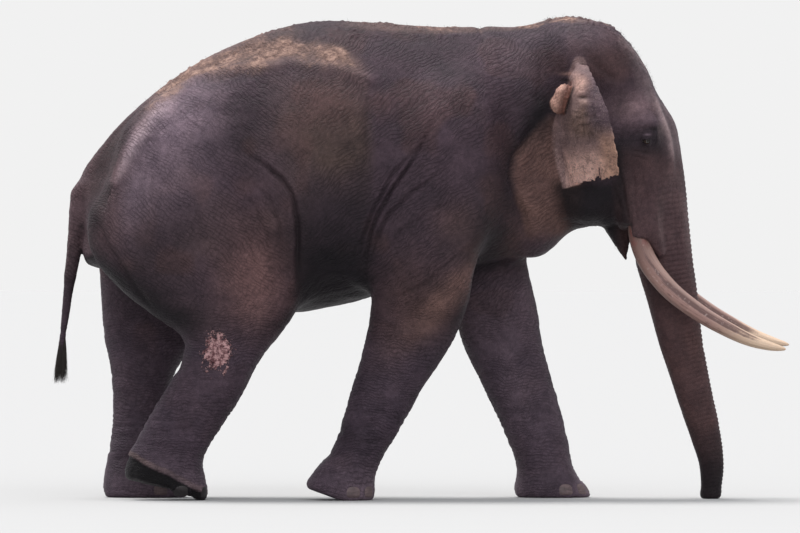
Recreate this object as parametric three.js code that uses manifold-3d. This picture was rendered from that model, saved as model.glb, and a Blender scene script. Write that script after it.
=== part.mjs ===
// An adult bull Asian elephant at life size, standing as it walks: a still museum model in named solids.
// Millimetres, +Z up, +X towards the head, +Y to the animal's left. The feet stand on z = 0.
//
// The flesh is one smooth field, blended from lofts and ellipsoids. Each named part of it is meshed from
// that field and parted from its neighbours by flat cuts. Ears, tusks, eyes, nails and the tail's hair
// are shapes of their own.
import * as THREE from "three";
import { mergeVertices } from "three/addons/utils/BufferGeometryUtils.js";
import Module from "manifold-3d";

const wasm = await Module();
wasm.setup();

// ---------------------------------------------------------------- driving dimensions

const GAP = 0.4; // clearance between two solids that meet at a flat cut
const RIM_REACH = 20; // the furthest that a cut's rim is moved to meet the true surface
const SLIVER = 0.05; // a cut's facets thinner than this are merged away
const CLEAR = 1.5; // clearance of a solid that is cut back to the curved flesh
const HEAD_YAW = THREE.MathUtils.degToRad(-5); // the head looks a little to its right
const HEAD_ROLL = THREE.MathUtils.degToRad(1.5); // and is held a little higher on its left
const HEAD_PIVOT = [700, 0, 2000]; // where the neck turns

const CELL = { torso: 170, neck: 140, leg: 122, foot: 97, head: 93, jaw: 54, trunk: 85, tail: 50 }; // mesh size of each part

const SKIN_BLEND = 150; // how softly the limbs run into the body
const FACE_BLEND = 90;

const EYE = { x: 1370, z: 2144, radius: 27, inset: 19 }; // inset: how far its middle lies under the skin
const TUSK = { sides: 8, steps: 12 };
const EAR_FOLD = { x: 866, y: 400, z: 2388, radii: [64, 100, 80] }; // thick fold at the back of the ear's root
const NAIL = { spread: 130, height: 52, width: 92, tall: 84, depth: 16 };

const HIDE_COLOUR = 0x5b4b4a;
const IVORY_COLOUR = 0xc2a186;
const EYE_COLOUR = 0x1c1210;
const NAIL_COLOUR = 0x77655a;
const HAIR_COLOUR = 0x16120f;

// Barrel of the body and neck: upright sections along x. top and bottom are heights, half is half the width.
const BARREL = [
  { at: -2010, top: 1950, bottom: 1560, half: 120 },
  { at: -1926, top: 2112, bottom: 1400, half: 236 },
  { at: -1806, top: 2262, bottom: 1330, half: 322 },
  { at: -1626, top: 2416, bottom: 1260, half: 398 },
  { at: -1326, top: 2616, bottom: 1170, half: 486 },
  { at: -1026, top: 2754, bottom: 1120, half: 556 },
  { at: -726, top: 2843, bottom: 1114, half: 602 },
  { at: -486, top: 2862, bottom: 1160, half: 614 },
  { at: -246, top: 2846, bottom: 1222, half: 596 },
  { at: 54, top: 2826, bottom: 1290, half: 538 },
  { at: 330, top: 2828, bottom: 1390, half: 450 },
  { at: 560, top: 2832, bottom: 1452, half: 362 },
  { at: 744, top: 2858, bottom: 1512, half: 305 },
  { at: 840, top: 2864, bottom: 1606, half: 282 },
  { at: 930, top: 2868, bottom: 1710, half: 262 },
];

// Head, level sections down from the crown: front and rear are x, half is half the width.
const HEAD = [
  { at: 2886, front: 1010, rear: 900, half: 60 },
  { at: 2856, front: 1112, rear: 800, half: 150 },
  { at: 2780, front: 1202, rear: 730, half: 225 },
  { at: 2680, front: 1284, rear: 680, half: 275 },
  { at: 2570, front: 1338, rear: 660, half: 300 },
  { at: 2440, front: 1384, rear: 660, half: 306 },
  { at: 2300, front: 1440, rear: 670, half: 312 },
  { at: 2170, front: 1440, rear: 690, half: 322 },
  { at: 2050, front: 1420, rear: 715, half: 326 },
  { at: 1900, front: 1370, rear: 760, half: 300 },
  { at: 1780, front: 1320, rear: 800, half: 255 },
  { at: 1690, front: 1280, rear: 830, half: 205 },
  { at: 1640, front: 1220, rear: 880, half: 150 },
];

// Trunk, level sections from between the eyes down to the tip.
const TRUNK = [
  { at: 2500, front: 1360, rear: 1200, half: 120 },
  { at: 2382, front: 1440, rear: 1180, half: 176 },
  { at: 2256, front: 1526, rear: 1170, half: 196 },
  { at: 2088, front: 1558, rear: 1180, half: 192 },
  { at: 1848, front: 1590, rear: 1220, half: 176 },
  { at: 1608, front: 1614, rear: 1262, half: 158 },
  { at: 1416, front: 1634, rear: 1290, half: 148 },
  { at: 1188, front: 1663, rear: 1356, half: 138 },
  { at: 948, front: 1689, rear: 1422, half: 124 },
  { at: 708, front: 1730, rear: 1500, half: 108 },
  { at: 468, front: 1782, rear: 1578, half: 94 },
  { at: 228, front: 1814, rear: 1660, half: 76 },
  { at: 90, front: 1806, rear: 1676, half: 66 },
  { at: -60, front: 1780, rear: 1670, half: 58 },
];

// Each leg, level sections from the top down to below the sole. out is how far its middle is from the centre plane.
const LEGS = {
  hind_right: {
    side: -1,
    sections: [
      { at: 2330, front: -1180, rear: -1680, half: 110, out: 300 },
      { at: 2180, front: -1010, rear: -1800, half: 190, out: 340 },
      { at: 1908, front: -850, rear: -1900, half: 240, out: 352 },
      { at: 1640, front: -748, rear: -2000, half: 250, out: 352 },
      { at: 1416, front: -736, rear: -1936, half: 240, out: 352 },
      { at: 1248, front: -738, rear: -1790, half: 220, out: 356 },
      { at: 1110, front: -752, rear: -1620, half: 200, out: 360 },
      { at: 980, front: -842, rear: -1430, half: 180, out: 362 },
      { at: 828, front: -966, rear: -1420, half: 162, out: 358 },
      { at: 648, front: -1056, rear: -1528, half: 150, out: 346 },
      { at: 498, front: -1146, rear: -1618, half: 150, out: 336 },
      { at: 348, front: -1246, rear: -1700, half: 160, out: 328 },
      { at: 228, front: -1300, rear: -1762, half: 176, out: 322 },
      { at: 120, front: -1282, rear: -1780, half: 184, out: 320 },
      { at: -90, front: -1262, rear: -1780, half: 186, out: 320 },
    ],
    sole: { x: -1310, rise: 0.33 },
    foot: { z: 285, x: -1500, rise: -0.35 },
    nails: 4,
  },
  hind_left: {
    side: 1,
    sections: [
      { at: 2330, front: -1180, rear: -1680, half: 110, out: 300 },
      { at: 2180, front: -1020, rear: -1800, half: 190, out: 340 },
      { at: 1908, front: -920, rear: -1900, half: 236, out: 352 },
      { at: 1640, front: -900, rear: -2000, half: 244, out: 352 },
      { at: 1416, front: -960, rear: -1946, half: 232, out: 352 },
      { at: 1188, front: -1130, rear: -1928, half: 206, out: 350 },
      { at: 948, front: -1340, rear: -1908, half: 176, out: 344 },
      { at: 768, front: -1478, rear: -1870, half: 155, out: 336 },
      { at: 588, front: -1516, rear: -1860, half: 146, out: 328 },
      { at: 420, front: -1530, rear: -1866, half: 150, out: 320 },
      { at: 228, front: -1486, rear: -1896, half: 170, out: 312 },
      { at: 108, front: -1430, rear: -1914, half: 188, out: 310 },
      { at: -60, front: -1396, rear: -1932, half: 196, out: 310 },
    ],
    foot: { z: 285, x: -1700, rise: 0 },
    nails: 4,
  },
  fore_right: {
    side: -1,
    sections: [
      { at: 2460, front: 300, rear: -60, half: 90, out: 330 },
      { at: 2250, front: 400, rear: -130, half: 150, out: 370 },
      { at: 1960, front: 470, rear: -230, half: 180, out: 385 },
      { at: 1680, front: 430, rear: -290, half: 190, out: 390 },
      { at: 1416, front: 330, rear: -298, half: 186, out: 386 },
      { at: 1188, front: 290, rear: -300, half: 172, out: 376 },
      { at: 948, front: 192, rear: -336, half: 158, out: 362 },
      { at: 708, front: 36, rear: -402, half: 146, out: 348 },
      { at: 468, front: -102, rear: -476, half: 145, out: 334 },
      { at: 290, front: -204, rear: -540, half: 160, out: 322 },
      { at: 168, front: -264, rear: -640, half: 182, out: 316 },
      { at: 70, front: -284, rear: -694, half: 196, out: 314 },
      { at: -80, front: -240, rear: -700, half: 200, out: 314 },
    ],
    sole: { x: -486, rise: 0.38 },
    foot: { z: 265, x: -440, rise: -0.1 },
    nails: 5,
  },
  fore_left: {
    side: 1,
    sections: [
      { at: 2460, front: 300, rear: -60, half: 90, out: 330 },
      { at: 2250, front: 430, rear: -100, half: 150, out: 370 },
      { at: 1960, front: 560, rear: -60, half: 180, out: 380 },
      { at: 1680, front: 630, rear: 30, half: 190, out: 380 },
      { at: 1416, front: 646, rear: 120, half: 186, out: 372 },
      { at: 1188, front: 690, rear: 180, half: 172, out: 362 },
      { at: 948, front: 734, rear: 240, half: 158, out: 350 },
      { at: 708, front: 796, rear: 354, half: 148, out: 338 },
      { at: 468, front: 858, rear: 468, half: 148, out: 326 },
      { at: 290, front: 898, rear: 548, half: 158, out: 318 },
      { at: 168, front: 926, rear: 582, half: 178, out: 314 },
      { at: 70, front: 990, rear: 566, half: 200, out: 314 },
      { at: -60, front: 1070, rear: 530, half: 212, out: 314 },
    ],
    foot: { z: 265, x: 740, rise: 0 },
    nails: 5,
  },
};

// Tail: round sections down its length.
const TAIL = [
  { x: -1936, z: 1990, radius: 80 },
  { x: -2030, z: 1880, radius: 70 },
  { x: -2054, z: 1740, radius: 56 },
  { x: -2074, z: 1550, radius: 48 },
  { x: -2104, z: 1340, radius: 37 },
  { x: -2130, z: 1120, radius: 26 },
  { x: -2156, z: 930, radius: 19 },
];

// ---------------------------------------------------------------- numbers and curves

const clamp = (value, low, high) => Math.min(high, Math.max(low, value));

// The named values of a table of sections at one place, smooth through every section.
function sectionAt(sections, place) {
  const rising = sections[0].at < sections[1].at;
  const order = rising ? sections : [...sections].reverse();
  const at = clamp(place, order[0].at, order[order.length - 1].at);
  let i = 0;
  while (i < order.length - 2 && order[i + 1].at < at) i++;
  const [a, b] = [order[i], order[i + 1]];
  const before = order[Math.max(0, i - 1)];
  const after = order[Math.min(order.length - 1, i + 2)];
  const span = b.at - a.at;
  const t = (at - a.at) / span;
  const found = {};
  for (const key of Object.keys(a)) {
    if (key === "at") continue;
    const slopeA = ((b[key] - before[key]) / (b.at - before.at)) * span;
    const slopeB = ((after[key] - a[key]) / (after.at - a.at)) * span;
    const t2 = t * t;
    const t3 = t2 * t;
    found[key] =
      (2 * t3 - 3 * t2 + 1) * a[key] +
      (t3 - 2 * t2 + t) * slopeA +
      (3 * t2 - 2 * t3) * b[key] +
      (t3 - t2) * slopeB;
  }
  return found;
}

// ---------------------------------------------------------------- the field: negative inside the flesh

function smoothUnion(a, b, blend) {
  const h = Math.max(blend - Math.abs(a - b), 0) / blend;
  return Math.min(a, b) - h * h * blend * 0.25;
}

const smoothCut = (a, b, blend) => -smoothUnion(-a, b, blend);

function ellipsoid(p, centre, radii) {
  const [x, y, z] = [p.x - centre[0], p.y - centre[1], p.z - centre[2]];
  const [a, b, c] = radii;
  const near = Math.hypot(x / a, y / b, z / c);
  const slope = Math.hypot(x / (a * a), y / (b * b), z / (c * c));
  return slope > 0 ? (near * (near - 1)) / slope : -Math.min(a, b, c);
}

// A rod that tapers from radius ra at a to radius rb at b, squeezed sideways by flat.
function taper(p, a, b, ra, rb, flat = 1) {
  const axis = [b[0] - a[0], b[1] - a[1], b[2] - a[2]];
  const from = [p.x - a[0], p.y - a[1], p.z - a[2]];
  const length2 = axis[0] ** 2 + axis[1] ** 2 + axis[2] ** 2;
  const t = clamp((from[0] * axis[0] + from[1] * axis[1] + from[2] * axis[2]) / length2, 0, 1);
  const off = [0, 1, 2].map((k) => from[k] - axis[k] * t);
  return Math.hypot(off[0], off[1] / flat, off[2]) - (ra + (rb - ra) * t);
}

// Distance to an oval section from (u, v), which are measured from its middle.
function oval(u, v, halfU, halfV, power) {
  const out = Math.hypot(u, v);
  const scaled = (Math.abs(u / halfU) ** power + Math.abs(v / halfV) ** power) ** (1 / power);
  return scaled > 1e-6 ? out * (1 - 1 / scaled) : -Math.min(halfU, halfV);
}

// Level sections stacked up z, closed above and below by the table's own ends.
function stack(p, sections, side = 0, power = 2.2) {
  const s = sectionAt(sections, p.z);
  const middle = (s.front + s.rear) / 2;
  const flat = oval(p.x - middle, p.y - side * (s.out ?? 0), (s.front - s.rear) / 2, s.half, power);
  const ends = [sections[0].at, sections[sections.length - 1].at];
  return Math.max(flat, p.z - Math.max(...ends), Math.min(...ends) - p.z);
}

function barrel(p) {
  const s = sectionAt(BARREL, p.x);
  const middle = s.bottom + (s.top - s.bottom) * 0.47; // the widest level
  const up = p.z > middle;
  const height = up ? s.top - middle : middle - s.bottom;
  const d = oval(p.y, p.z - middle, s.half, height, up ? 1.92 : 2.2);
  return Math.max(d, BARREL[0].at - p.x, p.x - BARREL[BARREL.length - 1].at);
}

// From the body's frame to the head's, which turns about the neck.
const headFrame = new THREE.Matrix4()
  .makeTranslation(...HEAD_PIVOT)
  .multiply(new THREE.Matrix4().makeRotationZ(HEAD_YAW))
  .multiply(new THREE.Matrix4().makeRotationX(HEAD_ROLL))
  .multiply(new THREE.Matrix4().makeTranslation(...HEAD_PIVOT.map((value) => -value)));
const toHead = headFrame.clone().invert();

function head(p) {
  const m = { x: p.x, y: Math.abs(p.y), z: p.z };
  let d = stack(m, HEAD, 0, 2.3);
  d = smoothUnion(d, ellipsoid(m, [980, 132, 2640], [265, 178, 215]), FACE_BLEND); // domes of the crown
  d = smoothUnion(d, ellipsoid(m, [1180, 118, 2500], [160, 142, 180]), FACE_BLEND); // brow
  d = smoothUnion(d, stack(m, TRUNK, 0, 2.3), FACE_BLEND);
  d = smoothUnion(d, ellipsoid(m, [1342, 213, 2190], [120, 78, 82]), 60); // bulge that holds the eye
  d = smoothUnion(d, taper(m, [1080, 262, 2070], [1300, 225, 2090], 88, 70), 70); // cheek bone
  d = smoothUnion(d, taper(m, [1385, 120, 2040], [1350, 186, 1640], 98, 96), 85); // tusk sheath
  d = smoothUnion(d, taper(m, [1372, 184, 1620], [1408, 172, 1515], 82, 52), 50); // its front lip
  d = smoothUnion(d, ellipsoid(m, [1000, 225, 1860], [170, 95, 190]), 80); // jaw muscle
  d = smoothCut(d, ellipsoid(m, [1130, 395, 2330], [185, 95, 150]), 80); // hollow of the temple
  d = smoothCut(d, ellipsoid(m, [1010, 0, 2990], [360, 100, 130]), 110); // groove between the domes
  return d;
}

// Lower jaw: a bar under the mouth that ends in the pointed lip.
function jaw(p) {
  const m = { x: p.x, y: Math.abs(p.y), z: p.z };
  let d = taper(m, [960, 140, 1760], [1150, 62, 1720], 108, 78);
  d = smoothUnion(d, taper(m, [1130, 0, 1730], [1200, 0, 1640], 104, 70), 60);
  d = smoothUnion(d, taper(m, [1190, 0, 1640], [1232, 0, 1442], 66, 15, 1.4), 40);
  return d;
}

const intoHead = (p) => new THREE.Vector3(p.x, p.y, p.z).applyMatrix4(toHead);

function flesh(p) {
  let d = barrel(p);
  for (const leg of Object.values(LEGS)) {
    d = smoothUnion(d, stack(p, leg.sections, leg.side, 2.25), SKIN_BLEND);
  }
  const m = { x: p.x, y: Math.abs(p.y), z: p.z };
  d = smoothUnion(d, ellipsoid(m, [-1380, 330, 2130], [330, 190, 270]), 200); // hip
  d = smoothUnion(d, ellipsoid(m, [210, 400, 2060], [230, 130, 420]), 160); // shoulder blade
  d = smoothUnion(d, ellipsoid(p, [660, 0, 1640], [170, 190, 180]), 120); // chest
  d = smoothUnion(d, head(intoHead(p)), SKIN_BLEND);
  for (let i = 0; i + 1 < TAIL.length; i++) {
    const [a, b] = [TAIL[i], TAIL[i + 1]];
    d = smoothUnion(d, taper(p, [a.x, 0, a.z], [b.x, 0, b.z], a.radius, b.radius), i ? 12 : 70);
  }
  return d;
}

// ---------------------------------------------------------------- meshing the field

// The field's surface inside a box, as quads round each grid edge it crosses, its corners moved onto the surface.
function surface(field, box, cell) {
  const count = ["x", "y", "z"].map((k) => Math.ceil((box.max[k] - box.min[k]) / cell) + 1);
  const [nx, ny, nz] = count;
  const value = new Float64Array(nx * ny * nz);
  const id = (i, j, k) => (i * ny + j) * nz + k;
  const place = (i, j, k) => ({
    x: box.min.x + i * cell,
    y: box.min.y + j * cell,
    z: box.min.z + k * cell,
  });
  for (let i = 0; i < nx; i++)
    for (let j = 0; j < ny; j++)
      for (let k = 0; k < nz; k++) {
        const edge = i === 0 || j === 0 || k === 0 || i === nx - 1 || j === ny - 1 || k === nz - 1;
        value[id(i, j, k)] = edge ? cell : field(place(i, j, k));
      }
  const corners = [];
  const cornerOf = new Map();
  const step = [ny * nz, nz, 1];
  for (let i = 0; i + 1 < nx; i++)
    for (let j = 0; j + 1 < ny; j++)
      for (let k = 0; k + 1 < nz; k++) {
        const sum = new THREE.Vector3();
        let crossings = 0;
        for (let axis = 0; axis < 3; axis++)
          for (let side = 0; side < 4; side++) {
            const at = [i, j, k];
            at[(axis + 1) % 3] += side & 1;
            at[(axis + 2) % 3] += side >> 1;
            const a = value[id(...at)];
            const b = value[id(...at) + step[axis]];
            if (a < 0 === b < 0) continue;
            at[axis] += a / (a - b);
            const p = place(...at);
            sum.add(new THREE.Vector3(p.x, p.y, p.z));
            crossings++;
          }
        if (!crossings) continue;
        cornerOf.set(id(i, j, k), corners.length / 3);
        corners.push(...settle(field, sum.divideScalar(crossings), cell).toArray());
      }
  const faces = [];
  for (let i = 0; i + 1 < nx; i++)
    for (let j = 0; j + 1 < ny; j++)
      for (let k = 0; k + 1 < nz; k++)
        for (let axis = 0; axis < 3; axis++) {
          const at = [i, j, k];
          const here = id(i, j, k);
          const a = value[here];
          const b = value[here + step[axis]];
          if (at[(axis + 1) % 3] < 1 || at[(axis + 2) % 3] < 1 || a < 0 === b < 0) continue;
          const [u, v] = [step[(axis + 1) % 3], step[(axis + 2) % 3]];
          const ring = [here - u - v, here - v, here, here - u].map((n) => cornerOf.get(n));
          if (a >= 0) ring.reverse();
          faces.push(...quad(corners, ring));
        }
  return solidFrom(corners, faces);
}

function slopeOf(field, p, cell) {
  const h = cell * 0.02;
  return new THREE.Vector3(
    field({ x: p.x + h, y: p.y, z: p.z }) - field({ x: p.x - h, y: p.y, z: p.z }),
    field({ x: p.x, y: p.y + h, z: p.z }) - field({ x: p.x, y: p.y - h, z: p.z }),
    field({ x: p.x, y: p.y, z: p.z + h }) - field({ x: p.x, y: p.y, z: p.z - h }),
  ).divideScalar(2 * h);
}

// Moves a point onto the field's surface, by at most most of a cell.
function settle(field, start, cell) {
  const p = start.clone();
  for (let n = 0; n < 4; n++) {
    const slope = slopeOf(field, p, cell);
    const steep = slope.lengthSq();
    if (steep < 0.01) break;
    p.addScaledVector(slope, -field(p) / steep);
  }
  const moved = p.clone().sub(start);
  if (moved.length() > cell * 0.45) moved.setLength(cell * 0.45);
  return start.clone().add(moved);
}

// Two triangles for a ring of four corners, split along the shorter diagonal.
function quad(corners, [a, b, c, d]) {
  const at = (n) => new THREE.Vector3().fromArray(corners, n * 3);
  const short = at(a).distanceTo(at(c)) <= at(b).distanceTo(at(d));
  return short ? [a, b, c, a, c, d] : [a, b, d, b, c, d];
}

// ---------------------------------------------------------------- solids

function solidFrom(corners, faces) {
  return new wasm.Manifold(
    new wasm.Mesh({
      numProp: 3,
      vertProperties: new Float32Array(corners),
      triVerts: new Uint32Array(faces),
    }),
  );
}

function solidOf(geometry, matrix = new THREE.Matrix4()) {
  const bare = geometry.clone().applyMatrix4(matrix);
  bare.deleteAttribute("normal");
  bare.deleteAttribute("uv");
  const merged = mergeVertices(bare, 1e-3);
  return solidFrom(merged.attributes.position.array, merged.index.array);
}

function geometryOf(solid) {
  const mesh = solid.getMesh();
  const geometry = new THREE.BufferGeometry();
  geometry.setAttribute("position", new THREE.BufferAttribute(mesh.vertProperties, 3));
  geometry.setIndex(new THREE.BufferAttribute(mesh.triVerts, 1));
  geometry.computeVertexNormals();
  return geometry;
}

const cuts = []; // every plane that has cut the flesh

// The piece of a solid on the positive side of a plane through point, kept half a gap away from it.
function trim(solid, point, normal, gap = GAP / 2) {
  const n = new THREE.Vector3(...normal).normalize();
  const offset = n.dot(new THREE.Vector3(...point)) + gap;
  cuts.push(new THREE.Plane(n, -offset));
  return solid.trimByPlane(n.toArray(), offset);
}

// A cut runs through flat facets, so its rim lies a little inside the flesh. Slides each corner of the rim along
// the cut, out to the field's surface.
function trueRims(solid) {
  const mesh = solid.getMesh();
  const corners = Array.from(mesh.vertProperties);
  for (let n = 0; n < corners.length; n += 3) {
    const p = new THREE.Vector3().fromArray(corners, n);
    const planes = cuts.filter((plane) => Math.abs(plane.distanceToPoint(p)) < 0.02);
    if (!planes.length || Math.abs(flesh(p)) > RIM_REACH) continue;
    for (let step = 0; step < 3; step++) {
      const slope = alongCuts(slopeOf(flesh, p, CELL.head), planes);
      if (slope.lengthSq() < 0.05) break;
      p.addScaledVector(slope, -flesh(p) / slope.lengthSq());
    }
    p.toArray(corners, n);
  }
  return solidFrom(corners, Array.from(mesh.triVerts));
}

// The part of a direction that stays in a cut or, where two cuts meet, on their shared edge.
function alongCuts(direction, planes) {
  const normal = planes[0].normal;
  const other = planes.find((plane) => Math.abs(plane.normal.dot(normal)) < 0.999);
  if (!other) return direction.projectOnPlane(normal);
  return direction.projectOnVector(normal.clone().cross(other.normal));
}

// The same facets a little further out, to cut a neighbour back with room to spare.
function grown(solid) {
  const geometry = geometryOf(solid);
  const corners = Array.from(geometry.attributes.position.array);
  const normals = geometry.attributes.normal.array;
  return solidFrom(corners.map((value, n) => value + CLEAR * normals[n]), Array.from(geometry.index.array));
}

// The largest of the bodies that a cut leaves.
function largest(solid) {
  return solid.decompose().reduce((a, b) => (b.volume() > a.volume() ? b : a));
}

// A closed tube through rings of points, capped by a fan at each end.
function tube(rings) {
  const sides = rings[0].length;
  const corners = rings.flat().flatMap((p) => p.toArray());
  const faces = [];
  for (let r = 0; r + 1 < rings.length; r++)
    for (let s = 0; s < sides; s++) {
      const next = (s + 1) % sides;
      faces.push(...quad(corners, [r * sides + s, r * sides + next, (r + 1) * sides + next, (r + 1) * sides + s]));
    }
  for (const [ring, turn] of [[0, true], [rings.length - 1, false]]) {
    const centre = corners.length / 3;
    const middle = rings[ring].reduce((sum, p) => sum.add(p), new THREE.Vector3()).divideScalar(sides);
    corners.push(...middle.toArray());
    for (let s = 0; s < sides; s++) {
      const [a, b] = [ring * sides + s, ring * sides + ((s + 1) % sides)];
      faces.push(...(turn ? [centre, b, a] : [centre, a, b]));
    }
  }
  const made = solidFrom(corners, faces);
  return made.volume() < 0 ? solidFrom(corners, faces.reverse()) : made;
}

// ---------------------------------------------------------------- tusks, eyes, ears

// A tusk: grows down out of its sheath, then sweeps forward and a little up. extra thickens it for its socket.
function tusk(side, extra = 0) {
  const line = new THREE.CatmullRomCurve3(
    [
      [1316, 178, 1800],
      [1332, 192, 1620],
      [1350, 204, 1500],
      [1412, 226, 1372],
      [1528, 252, 1236],
      [1696, 270, 1110],
      [1862, 274, 1014],
      [1985, 266, 956],
      [2100, 256, 920],
      [2200, 244, 900],
    ].map(([x, y, z]) => new THREE.Vector3(x, side * y, z)),
  );
  const { sides, steps } = TUSK;
  const frames = line.computeFrenetFrames(steps, false);
  const rings = [];
  for (let i = 0; i <= steps; i++) {
    const t = i / steps;
    const centre = line.getPointAt(t);
    if (i === 0) centre.z += extra;
    const radius = tuskRadius(t) + extra;
    rings.push(
      Array.from({ length: sides }, (_, s) => {
        const turn = (2 * Math.PI * s) / sides;
        return centre
          .clone()
          .addScaledVector(frames.normals[i], radius * Math.cos(turn))
          .addScaledVector(frames.binormals[i], radius * Math.sin(turn));
      }),
    );
  }
  return tube(rings).transform(headFrame.elements);
}

const tuskRadius = (t) => 61 * Math.sqrt(Math.max(0.03, 1 - t ** 3)) * (1 - 0.06 * t);

function eye(side, extra = 0) {
  const p = new THREE.Vector3(EYE.x, 600, EYE.z);
  for (let step = 0; step < 40; step++) p.y -= head(p) * 0.9;
  const ball = new THREE.IcosahedronGeometry(EYE.radius + extra, 1);
  const place = new THREE.Matrix4().makeTranslation(EYE.x, side * (p.y - EYE.inset), EYE.z);
  return solidOf(ball, headFrame.clone().multiply(place));
}

// An ear, swung forward and out. across runs from its root to its free edge, down from its top to its torn lower edge.
function ear(side, extra = 0) {
  const root = new THREE.CatmullRomCurve3([
    new THREE.Vector3(978, 240, 2645),
    new THREE.Vector3(905, 290, 2540),
    new THREE.Vector3(850, 300, 2400),
    new THREE.Vector3(852, 290, 2250),
    new THREE.Vector3(846, 262, 2080),
    new THREE.Vector3(878, 225, 1876),
  ]);
  const edge = new THREE.CatmullRomCurve3([
    new THREE.Vector3(1028, 380, 2640),
    new THREE.Vector3(1080, 610, 2560),
    new THREE.Vector3(1178, 790, 2350),
    new THREE.Vector3(1230, 810, 2120),
    new THREE.Vector3(1246, 690, 1925),
  ]);
  const [acrossSteps, downSteps] = [6, 7];
  const sheetPoint = (across, down) => {
    const from = root.getPoint(down);
    const to = edge.getPoint(down);
    const bow = 4 * across * (1 - across);
    const p = from.lerp(to, across);
    p.x -= bow * 62 * Math.sin(Math.PI * clamp(down + 0.15, 0, 1)); // cupped towards the front
    p.y += bow * 34;
    const notch = Math.sin(across * 31) * 9 + Math.sin(across * 17 + 1) * 7;
    p.z += down > 0.999 ? notch : 0; // the torn lower edge
    return p;
  };
  const half = (across, down) => {
    const rim = Math.min(1 - across, down, 1 - down) * 4;
    return 7 + 9 * (1 - across) + 3 * clamp(rim, 0, 1) + extra;
  };
  const normalAt = (across, down) => {
    const e = 0.02;
    const du = sheetPoint(clamp(across + e, 0, 1), down).sub(sheetPoint(clamp(across - e, 0, 1), down));
    const dv = sheetPoint(across, clamp(down + e, 0, 0.998)).sub(sheetPoint(across, clamp(down - e, 0, 1)));
    return du.cross(dv).normalize();
  };
  const corners = [];
  const faces = [];
  const columns = acrossSteps + 1;
  const rows = downSteps + 1;
  for (const layer of [1, -1])
    for (let d = 0; d < rows; d++)
      for (let a = 0; a < columns; a++) {
        const [across, down] = [a / acrossSteps, d / downSteps];
        const p = sheetPoint(across, down).addScaledVector(normalAt(across, down), layer * half(across, down));
        corners.push(p.x, side * p.y, p.z);
      }
  const at = (layer, d, a) => layer * rows * columns + d * columns + a;
  for (let d = 0; d < downSteps; d++)
    for (let a = 0; a < acrossSteps; a++) {
      faces.push(...quad(corners, [at(0, d, a), at(0, d, a + 1), at(0, d + 1, a + 1), at(0, d + 1, a)]));
      faces.push(...quad(corners, [at(1, d, a), at(1, d + 1, a), at(1, d + 1, a + 1), at(1, d, a + 1)]));
    }
  for (let d = 0; d < downSteps; d++) {
    faces.push(...quad(corners, [at(0, d, 0), at(0, d + 1, 0), at(1, d + 1, 0), at(1, d, 0)]));
    faces.push(...quad(corners, [at(0, d + 1, acrossSteps), at(0, d, acrossSteps), at(1, d, acrossSteps), at(1, d + 1, acrossSteps)]));
  }
  for (let a = 0; a < acrossSteps; a++) {
    faces.push(...quad(corners, [at(0, 0, a + 1), at(0, 0, a), at(1, 0, a), at(1, 0, a + 1)]));
    faces.push(...quad(corners, [at(0, downSteps, a), at(0, downSteps, a + 1), at(1, downSteps, a + 1), at(1, downSteps, a)]));
  }
  const made = solidFrom(corners, faces);
  const sheet = made.volume() < 0 ? solidFrom(corners, faces.reverse()) : made;
  const fold = new THREE.IcosahedronGeometry(1, 1).scale(...EAR_FOLD.radii);
  const place = new THREE.Matrix4().makeTranslation(EAR_FOLD.x, side * EAR_FOLD.y, EAR_FOLD.z);
  return sheet.add(solidOf(fold, place)).transform(headFrame.elements);
}

// ---------------------------------------------------------------- nails and the tail's hair

// Thin plates of horn round the front of a foot, cut back to the foot's own surface.
function nails(name, leg, foot) {
  const low = sectionAt(leg.sections, 60);
  const middle = [(low.front + low.rear) / 2, leg.side * low.out];
  const [reachX, reachY] = [(low.front - low.rear) / 2, low.half];
  for (let n = 0; n < leg.nails; n++) {
    const turn = leg.side * THREE.MathUtils.degToRad(NAIL.spread * (n / (leg.nails - 1) - 0.5));
    const ray = new THREE.Vector3(Math.cos(turn) * reachX, Math.sin(turn) * reachY, 0).normalize();
    const p = new THREE.Vector3(middle[0], middle[1], NAIL.height);
    for (let step = 0; step < 60; step++) p.addScaledVector(ray, -flesh(p) * 0.8);
    const across = new THREE.Vector3(0, 0, 1).cross(ray);
    const plate = new THREE.SphereGeometry(1, 6, 3).scale(NAIL.depth, NAIL.width / 2, NAIL.tall / 2);
    const place = new THREE.Matrix4().makeBasis(ray, across, new THREE.Vector3(0, 0, 1)).setPosition(p);
    add(`nail_${name}_${n + 1}`, onSole(solidOf(plate, place).subtract(foot), leg, 2), nailHorn);
  }
}

// The flat brush of hair at the tail's end.
function tuft() {
  const levels = [
    { z: 984, x: -2148, long: 17, wide: 15 },
    { z: 900, x: -2164, long: 30, wide: 20 },
    { z: 800, x: -2184, long: 38, wide: 20 },
    { z: 728, x: -2196, long: 20, wide: 10 },
  ];
  return tube(
    levels.map(({ z, x, long, wide }) =>
      Array.from({ length: 8 }, (_, s) => {
        const turn = (Math.PI * s) / 4;
        return new THREE.Vector3(x + long * Math.cos(turn), wide * Math.sin(turn), z);
      }),
    ),
  );
}

// ---------------------------------------------------------------- parting the flesh

const box3 = (x0, x1, y0, y1, z0, z1) =>
  new THREE.Box3(new THREE.Vector3(x0, y0, z0), new THREE.Vector3(x1, y1, z1));

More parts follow.
